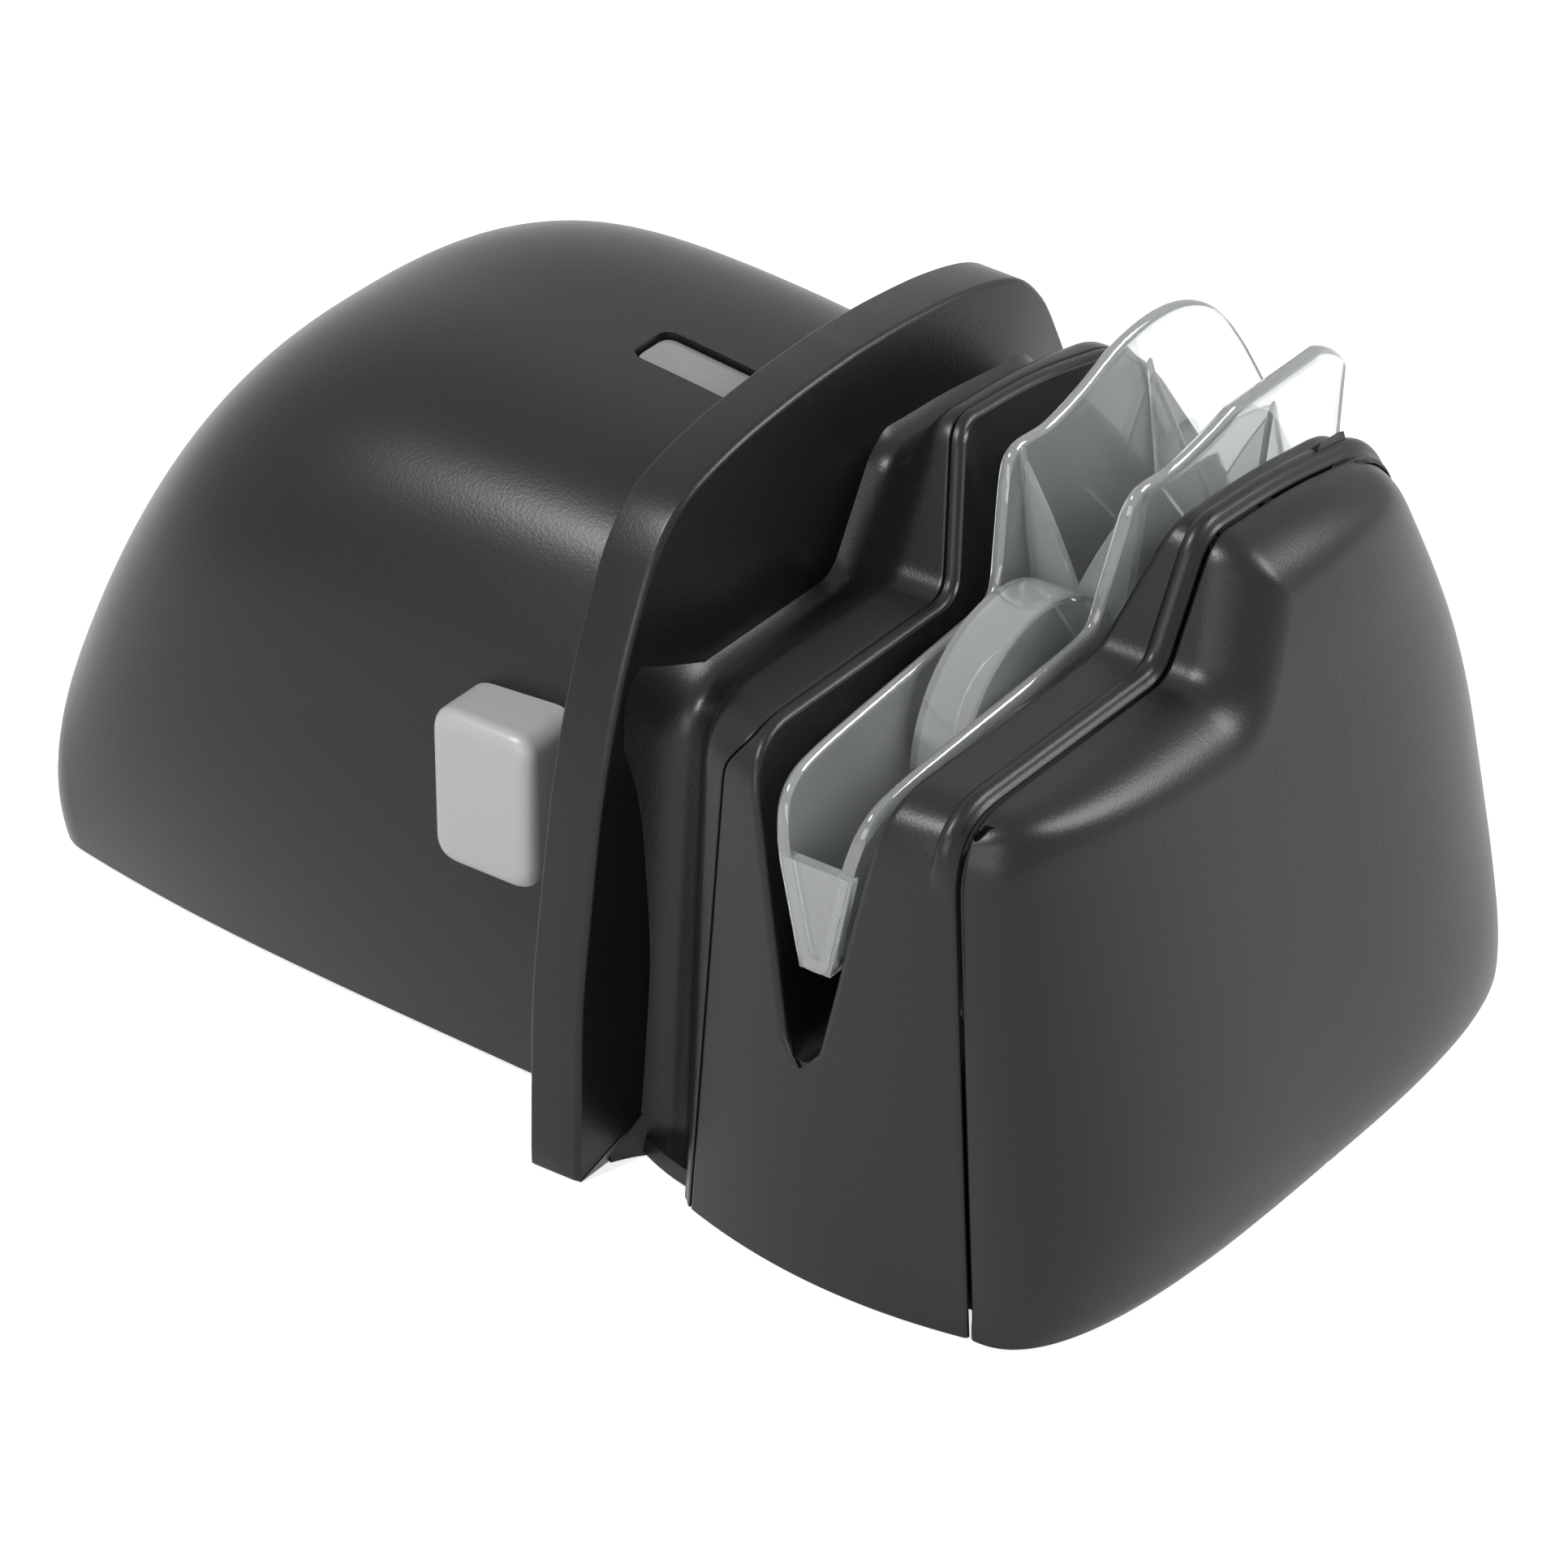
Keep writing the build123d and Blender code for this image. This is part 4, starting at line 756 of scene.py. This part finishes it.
@dataclass
class Head:
    """Neck, wheel housing and end cap."""

    form: HeadForm = field(default_factory=HeadForm)
    wall: float = 2.0
    housing_wall: float = 1.6
    neck_gap: float = 0.07
    neck_roll: float = 0.22
    seam_gap: float = 0.1
    seam_roll: float = 0.4
    slot_roll: float = 0.9
    bead_height: float = 1.0
    bead_half: float = 1.1
    bead_centre: float = 1.5
    bead_rise: Pair = (50.0, 56.5)
    plan_power: float = 3.2
    nose_power: float = 2.4
    shoulder: float = 6.5
    shoulder_rise: Pair = (24.0, 44.0)
    cap_roll: float = 0.6
    cap_inset: float = 0.25
    flange: float = 0.7
    cap_wall: float = 0.8
    rear_share: float = 0.97
    rear_least: float = 26.0
    face_line: tuple[Pair, ...] = (
        (0.15, 74.5), (1.2, 75.3), (4.0, 76.1), (9.0, 76.3), (16.0, 75.5), (25.0, 73.9), (40.0, 70.9), (52.0, 68.5),
        (60.0, 67.0), (67.0, 65.4), (76.0, 63.2))

    def neck(self) -> Object:
        """Make the neck skin between guard plate and housing."""
        form = self.form
        edges = np.array([0.0, 0.1, 0.25, 0.45, 0.7])
        points, normal, _, right = form.skin(
            lambda z: np.full_like(z, form.neck_start), lambda z: form.housing_seam(z) - self.neck_gap, edges, 26)
        points = push(points, normal, -roll(right, self.neck_roll))
        return Piece("neck_skin").grid(points).make(
            Stock.SHELL_ABS, "chassis", "black_abs", ["guard_body"], wall=self.wall)

    def slot_wall(self, edge: Array, side: int, depth: Array) -> Array:
        """Wall (n, rows, 3) of the V slot: from an edge (rows, 3) of the skin straight down to the slot floor.

        Args:
            edge: Edge of the skin.
            side: -1 for the left wall, 1 for the right.
            depth: Shares of the way down, shape (n,).
        """
        form = self.form
        foot = np.column_stack([edge[:, 1], np.full(len(edge), form.slot_floor)])
        t = depth[:, None, None]
        yz = (1 - t) * edge[None, :, 1:] + t * foot[None]
        slack = np.abs(edge[:, 0] - form.slot) - form.slot_half(edge[:, 2])
        return joined(form.slot + side * (form.slot_half(yz[..., 1]) + slack * (1 - depth[:, None])), yz)

    def housing(self) -> Object:
        """Make the wheel housing: both skins, the bead along the cap and the walls of the V slot."""
        form = self.form
        edges = np.array([0.0, 0.06, 0.16, 0.3, 0.5, 0.7, 0.9, 1.15, 1.4, 1.65, 1.9, 2.1, 2.3, 2.5])
        piece = Piece("wheel_housing_skin")
        depth = np.linspace(0, 1, 30) ** 0.7
        for side in (-1, 1):
            limits = [lambda z: form.housing_seam(z) + self.neck_gap, lambda z: form.slot - form.slot_half(z)]
            if side > 0:
                limits = [lambda z: form.slot + form.slot_half(z), lambda z: form.cap_seam(z) - self.seam_gap]
            points, normal, left, right = form.skin(*limits, edges, 24)
            slot_edge, seam_edge = (right, left) if side < 0 else (left, right)
            z = points[..., 2]
            slot_roll = self.slot_roll * smooth(form.slot_floor - 0.2, form.slot_floor + 1.6, z)
            push_by = -roll(slot_edge, slot_roll) - roll(seam_edge, self.neck_roll if side < 0 else self.seam_roll)
            if side > 0:
                bead = np.sqrt(np.clip(1 - ((right - self.bead_centre) / self.bead_half) ** 2, 0, 1))
                push_by = push_by + self.bead_height * bead * smooth(*self.bead_rise, z)
            points = push(points, normal, push_by)
            piece.grid(points)
            edge = points[-1] if side < 0 else points[0]
            above = np.flatnonzero(edge[:, 2] > form.slot_floor - 0.001)
            edge = edge[above[0]: above[-1] + 1]
            piece.grid(self.slot_wall(edge, side, depth))
        return piece.make(
            Stock.SHELL_ABS, "chassis", "black_abs", ["wheel_housing"], wall=self.housing_wall, sharp=40.0)

    def below_top(self, border: Array, yz: Array) -> Array:
        """Distances (n, rows) of points (n, rows, 2) to the top line of a profile (rows, 2)."""
        top = even(border[border[:, 1] > 30.0], 420)
        across = unit(np.gradient(top, axis=0)[:, ::-1] * (-1, 1))
        flat = yz.reshape(-1, 2)
        nearest = ((flat[:, None] - top[None]) ** 2).sum(-1).argmin(axis=1)
        distance = np.abs(((flat - top[nearest]) * across[nearest]).sum(-1))
        return distance.reshape(yz.shape[:2])

    def cap_length(self, border: Array, yz: Array) -> Array:
        """Lengths (n, rows) of the cap's face over points yz (n, rows, 2) within its border (rows, 2).

        The face line gives the length for a height. From it goes the root of two squared depths: one grows towards
        the sides like a superellipse, the other is a quarter circle below the top line.
        """
        form = self.form
        y, z = yz[..., 0], yz[..., 1]
        line = through(self.face_line, 300)
        face = np.interp(z, line[:, 0], line[:, 1])
        seam = form.cap_seam(z) + self.seam_gap + self.cap_roll
        front, rear = border[border[:, 0] < 0], border[border[:, 0] > 0][::-1]
        half = np.where(y < 0, np.interp(z, front[:, 1], -front[:, 0]), np.interp(z, rear[:, 1], rear[:, 0]))
        low_front = -front[front[:, 1] < form.low * 0.6].min(axis=0)[0]
        half = np.where(y < 0, np.maximum(half, low_front - form.lean),
                        np.maximum(self.rear_share * half, self.rear_least))
        side = np.clip(np.abs(y) / half, 0, 1)
        plan = (face - seam) * (1 - (1 - side**self.plan_power) ** (1 / self.nose_power))
        near = np.clip(self.below_top(border, yz) / self.shoulder, 0, 1)
        top = self.shoulder * (1 - np.sqrt(1 - (1 - near) ** 2)) * smooth(*self.shoulder_rise, z)
        return np.maximum(face - np.sqrt(plan**2 + top**2), seam)

    def end_cap(self) -> Object:
        """Make the end cap: a narrow band along the seam, and inside it the length as a height field."""
        form = self.form
        x = np.full((1, form.rows()), form.cap)
        for _ in range(4):
            x = form.cap_seam(form.profile(x)[0][..., 1])
        border, normal = form.profile(x)
        border = border[0] - normal[0] * self.cap_inset * smooth(0.5, 3.0, border[0][:, 1:])
        normal, start = normal[0], x[0] + self.seam_gap
        out, drawn = (part[:0:-1] for part in quarter(self.cap_roll, 7))
        lip = border - normal * np.append(self.cap_roll + self.flange, drawn)[:, None, None]
        lip_x = start + np.append(0.0, out)[:, None]
        share = (np.linspace(0, 1, 130) ** 2.2)[:, None, None]
        hub = np.array([0.0, form.ground])
        yz = border[None] + (hub - border[None]) * share
        length = self.cap_length(border, yz)
        band = np.linspace(0, 1, 9)[:-1, None]
        band_x = lip_x[-1:] + (length[:1] - lip_x[-1:]) * band
        band_yz = np.broadcast_to(border, (len(band), *border.shape))
        points = np.concatenate([joined(lip_x, lip), joined(band_x, band_yz), joined(length, yz)])
        return Piece("end_cap_shell").grid(points).make(
            Stock.SHELL_ABS, "cap", "black_abs", ["end_cap"], wall=self.cap_wall)


# Clear guide
@dataclass
class Guide:
    """Clear V guide: two blade walls with thick rims, a tongue in front, two braces and a hood."""

    centre: float = 40.6
    floor: float = 35.0
    floor_half: float = 1.9
    rim_half: float = 6.8
    rim: float = 58.0
    ear_half: float = 8.9
    ear: float = 76.4
    wall: float = 1.5
    front: float = -44.6
    ear_high: float = 75.6
    ear_low: float = 56.0
    ear_start: float = 38.8
    ear_slope: float = 9.0
    tongue_top: float = 47.5
    hood_centre: Pair = (-9.0, 47.0)
    hood_radius: float = 14.8
    hood_half: float = 3.2
    cheek_radius: float = 7.5
    hood_wall: float = 0.6
    braces: tuple[float, ...] = (1.5, 25.0)
    brace_top: Pair = (58.2, 72.6)
    brace_foot: Pair = (52.0, 58.0)
    top_line: tuple[Pair, ...] = (
        (-44.6, 47.6), (-44.2, 50.5), (-43.2, 53.2), (-41.0, 55.0), (-37.0, 55.9), (-28.0, 56.7), (-17.0, 57.5),
        (-9.0, 58.1), (-6.0, 58.7), (-4.6, 60.2), (-3.4, 64.0), (-2.0, 69.0), (-0.8, 72.2), (1.4, 73.3),
        (6.5, 73.2), (12.4, 74.4), (19.8, 76.6), (27.0, 77.2), (33.0, 76.0), (38.0, 73.0), (42.0, 68.0), (46.0, 61.0))

    def half(self, z: Array) -> Array:
        """Outer half-width of the V at a height."""
        slope = (self.rim_half - self.floor_half) / (self.rim - self.floor)
        flare = (self.ear_half - self.rim_half) / (self.ear - self.rim)
        return self.floor_half + slope * (np.minimum(z, self.rim) - self.floor) + flare * np.maximum(z - self.rim, 0)

    def channel(self) -> Array:
        """Closed sections (n, points, 3) of the V channel from front to rear.

        Each runs up the outside of the right wall, over its round rim and down its inside, then back over the left.
        """
        top = through(self.top_line, 190)
        y, crest = top[:, :1], top[:, 1:]
        rim = self.wall / 2 + 0.2
        down = np.linspace(0, 1, 16)[None]
        turn = np.linspace(0, np.pi, 9)[None]
        sides = []
        end = (self.ear_high - self.ear_slope * np.maximum(y - self.ear_start, 0)).clip(min=self.ear_low)
        for high in (np.minimum(crest - 0.4 * smooth(8, 24, y), end), crest):
            outer_z = high - rim - (high - rim - self.floor) * down
            inner_z = outer_z[:, ::-1].clip(min=self.floor + self.wall)
            half = [self.half(outer_z)[:, ::-1], self.half(high - rim) - self.wall / 2 * (1 - np.cos(turn)),
                    self.half(inner_z)[:, ::-1] - self.wall]
            level = [outer_z[:, ::-1], high - rim + rim * np.sin(turn), inner_z[:, ::-1]]
            sides.append((np.concatenate(half, axis=1), np.concatenate(level, axis=1)))
        (right_x, right_z), (left_x, left_z) = sides
        x = np.concatenate([self.centre + right_x, self.centre - left_x[:, ::-1]], axis=1)
        z = np.concatenate([right_z, left_z[:, ::-1]], axis=1)
        return np.stack([x, np.broadcast_to(y, x.shape), z], axis=-1)

    def tongue(self) -> Array:
        """Front wall below the rim ledge, a little proud of the channel."""
        height = np.array([self.floor, self.floor + 0.35, self.floor + 1.0, 40.0, 44.0, self.tongue_top - 0.6,
                           self.tongue_top])
        half = self.half(height) - 0.05
        half[:2] -= (0.8, 0.25)
        edge, face, back = (self.front + step for step in (0.3, -0.05, 1.25))
        cut = 0.4
        return np.array([[(self.centre + x, y, z) for x, y in (
            (-w, edge), (cut - w, face), (w - cut, face), (w, edge), (w, back), (-w, back))]
            for z, w in zip(height, half)])

    def brace(self, y: float) -> Array:
        """Thin V-shaped web across the trough: its top edge falls from both walls to the middle."""
        rings = []
        for s in np.linspace(-1, 1, 33):
            low, high = np.interp(abs(s), (0, 1), self.brace_foot), np.interp(abs(s), (0, 1), self.brace_top)
            x_low, x_top = (self.centre + s * (self.half(np.array(z)) - 0.7) for z in (low, high))
            rings.append([(x_low, y - 0.5, low), (x_low, y + 0.5, low), (x_top, y + 0.5, high - 0.3),
                          (x_top, y + 0.2, high), (x_top, y - 0.2, high), (x_top, y - 0.5, high - 0.3)])
        return np.array(rings)

    def hood(self) -> Array:
        """Hood over the grinding wheel: a half ring with a flat cheek on both sides."""
        angle = np.linspace(math.radians(-7), math.radians(187), 60)
        (y0, z0), r, t, w = self.hood_centre, self.hood_radius, self.hood_wall, self.hood_half
        low = self.cheek_radius
        section = ((r, -w), (r, w), (low, w), (low, w - t), (r - t, w - t), (r - t, t - w), (low, t - w), (low, -w))
        return np.stack([np.column_stack([np.full_like(angle, self.centre + x), y0 + radius * np.cos(angle),
                                          z0 + radius * np.sin(angle)]) for radius, x in section], axis=1)

    def build(self) -> Object:
        """Make the guide as one clear piece."""
        piece = Piece("clear_blade_guide").tube(self.channel()).tube(self.tongue()).tube(self.hood())
        for y in self.braces:
            piece.tube(self.brace(y))
        return piece.make(Stock.GUIDE, "guide", "clear_guide", ["blade_guide"])


# Studio
@dataclass
class Studio:
    """Pale floor, two soft lamps, a quiet fill, and the camera."""

    camera_place: Triple = (400.6, -538.5, 438.4)
    right: Triple = (0.8051, 0.5931, 0.0)
    up: Triple = (-0.3138, 0.4259, 0.8486)
    back: Triple = (0.5033, -0.6832, 0.5290)
    lens: float = 166.29
    aim: Triple = (0.0, 0.0, 0.03)
    dim: float = 0.14
    glow: float = 0.75
    floor_half: float = 6.0

    def stand(self, thing: Object, axes: Sequence[Array], place: Triple) -> None:
        """Set the three axes of a lamp or camera and its place in metres."""
        thing.matrix_world = Matrix([*np.array([*axes, place]).T.tolist(), [0, 0, 0, 1]])

    def camera(self) -> None:
        """Place the camera."""
        data = bpy.data.cameras.new("camera")
        data.lens, data.sensor_width, data.clip_end = self.lens, 36.0, 20.0
        camera = put("camera", data)
        self.stand(camera, (self.right, self.up, self.back), np.array(self.camera_place) * MM)
        bpy.context.scene.camera = camera

    def lamp(self, name: str, place: Triple, size: Pair, power: float) -> None:
        """Add a rectangular soft lamp that faces the object: place and size in metres, power in watts."""
        data = bpy.data.lights.new(name, "AREA")
        data.shape, data.size, data.size_y, data.energy = "RECTANGLE", size[0], size[1], power
        away = unit(np.array(place) - np.array(self.aim))
        side = unit(np.cross((0, 0, 1), away))
        self.stand(put(name, data), (side, np.cross(away, side), away), place)

    def seen(self, tree: NodeTree) -> Node:
        """Add a node that is 1 for rays of the camera, of a mirror and of clear plastic."""
        ray, most = add_node(tree, "LightPath").outputs, {"operation": "MAXIMUM"}
        past = add_node(tree, "Math", most, {0: ray["Is Glossy Ray"], 1: ray["Is Transmission Ray"]})
        return add_node(tree, "Math", most, {0: ray["Is Camera Ray"], 1: past.outputs[0]})

    def world(self) -> None:
        """Even dim light, and white where the camera, a mirror or clear plastic looks past the object."""
        world = bpy.data.worlds.new("studio")
        tree = blank_tree(world)
        level = add_node(tree, "MapRange", {"To Min": self.dim, "To Max": 1.0}, {"Value": self.seen(tree).outputs[0]})
        light = add_node(tree, "Background", {"Color": (1, 1, 1, 1)}, {"Strength": level.outputs[0]})
        add_node(tree, "OutputWorld", links={"Surface": light.outputs[0]})
        bpy.context.scene.world = world

    def floor(self) -> None:
        """Make the floor: white from above with the shadow of the object, and clear from below."""
        mesh = bpy.data.meshes.new("floor")
        h = self.floor_half
        mesh.from_pydata([(-h, -h, 0), (h, -h, 0), (h, h, 0), (-h, h, 0)], [], [(0, 1, 2, 3)])
        floor = put("floor", mesh)
        paint = bpy.data.materials.new("white_paper")
        tree = blank_tree(paint)
        matt = add_node(tree, "BsdfDiffuse", {"Color": colour("#cccccc")})
        glow = add_node(tree, "Emission", {"Color": (1, 1, 1, 1), "Strength": self.glow})
        both = add_node(tree, "AddShader", links={0: matt.outputs[0], 1: glow.outputs[0]})
        mix = add_node(tree, "MixShader", links={0: self.seen(tree).outputs[0], 1: matt.outputs[0],
                                                 2: both.outputs[0]})
        below = add_node(tree, "NewGeometry").outputs["Backfacing"]
        clear = add_node(tree, "BsdfTransparent")
        sheet = add_node(tree, "MixShader", links={0: below, 1: mix.outputs[0], 2: clear.outputs[0]})
        add_node(tree, "OutputMaterial", links={"Surface": sheet.outputs[0]})
        mesh.materials.append(paint)

    def build(self) -> None:
        """Set the whole stage."""
        self.camera()
        self.world()
        self.floor()
        self.lamp("left_softbox", (-0.27, -0.66, 1.06), (0.30, 0.30), 13.0)
        self.lamp("right_softbox", (0.75, 0.62, 0.72), (0.45, 0.5), 10.5)
        self.lamp("front_fill", (0.25, -1.1, 0.40), (1.0, 0.5), 6.0)
        bpy.context.scene.view_settings.view_transform = "Standard"


def main() -> None:
    """Set the stage, dress the imported nodes, then build the sharpener piece by piece."""
    logging.basicConfig(level=logging.INFO, format="%(name)s %(message)s")
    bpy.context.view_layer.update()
    Studio().build()
    dress_nodes()
    grip, head = Grip(), Head()
    for build in (grip.shell, grip.button, grip.window, Guard().plate, head.neck, head.housing, head.end_cap,
                  Guide().build):
        build()


if __name__ == "__main__":
    main()
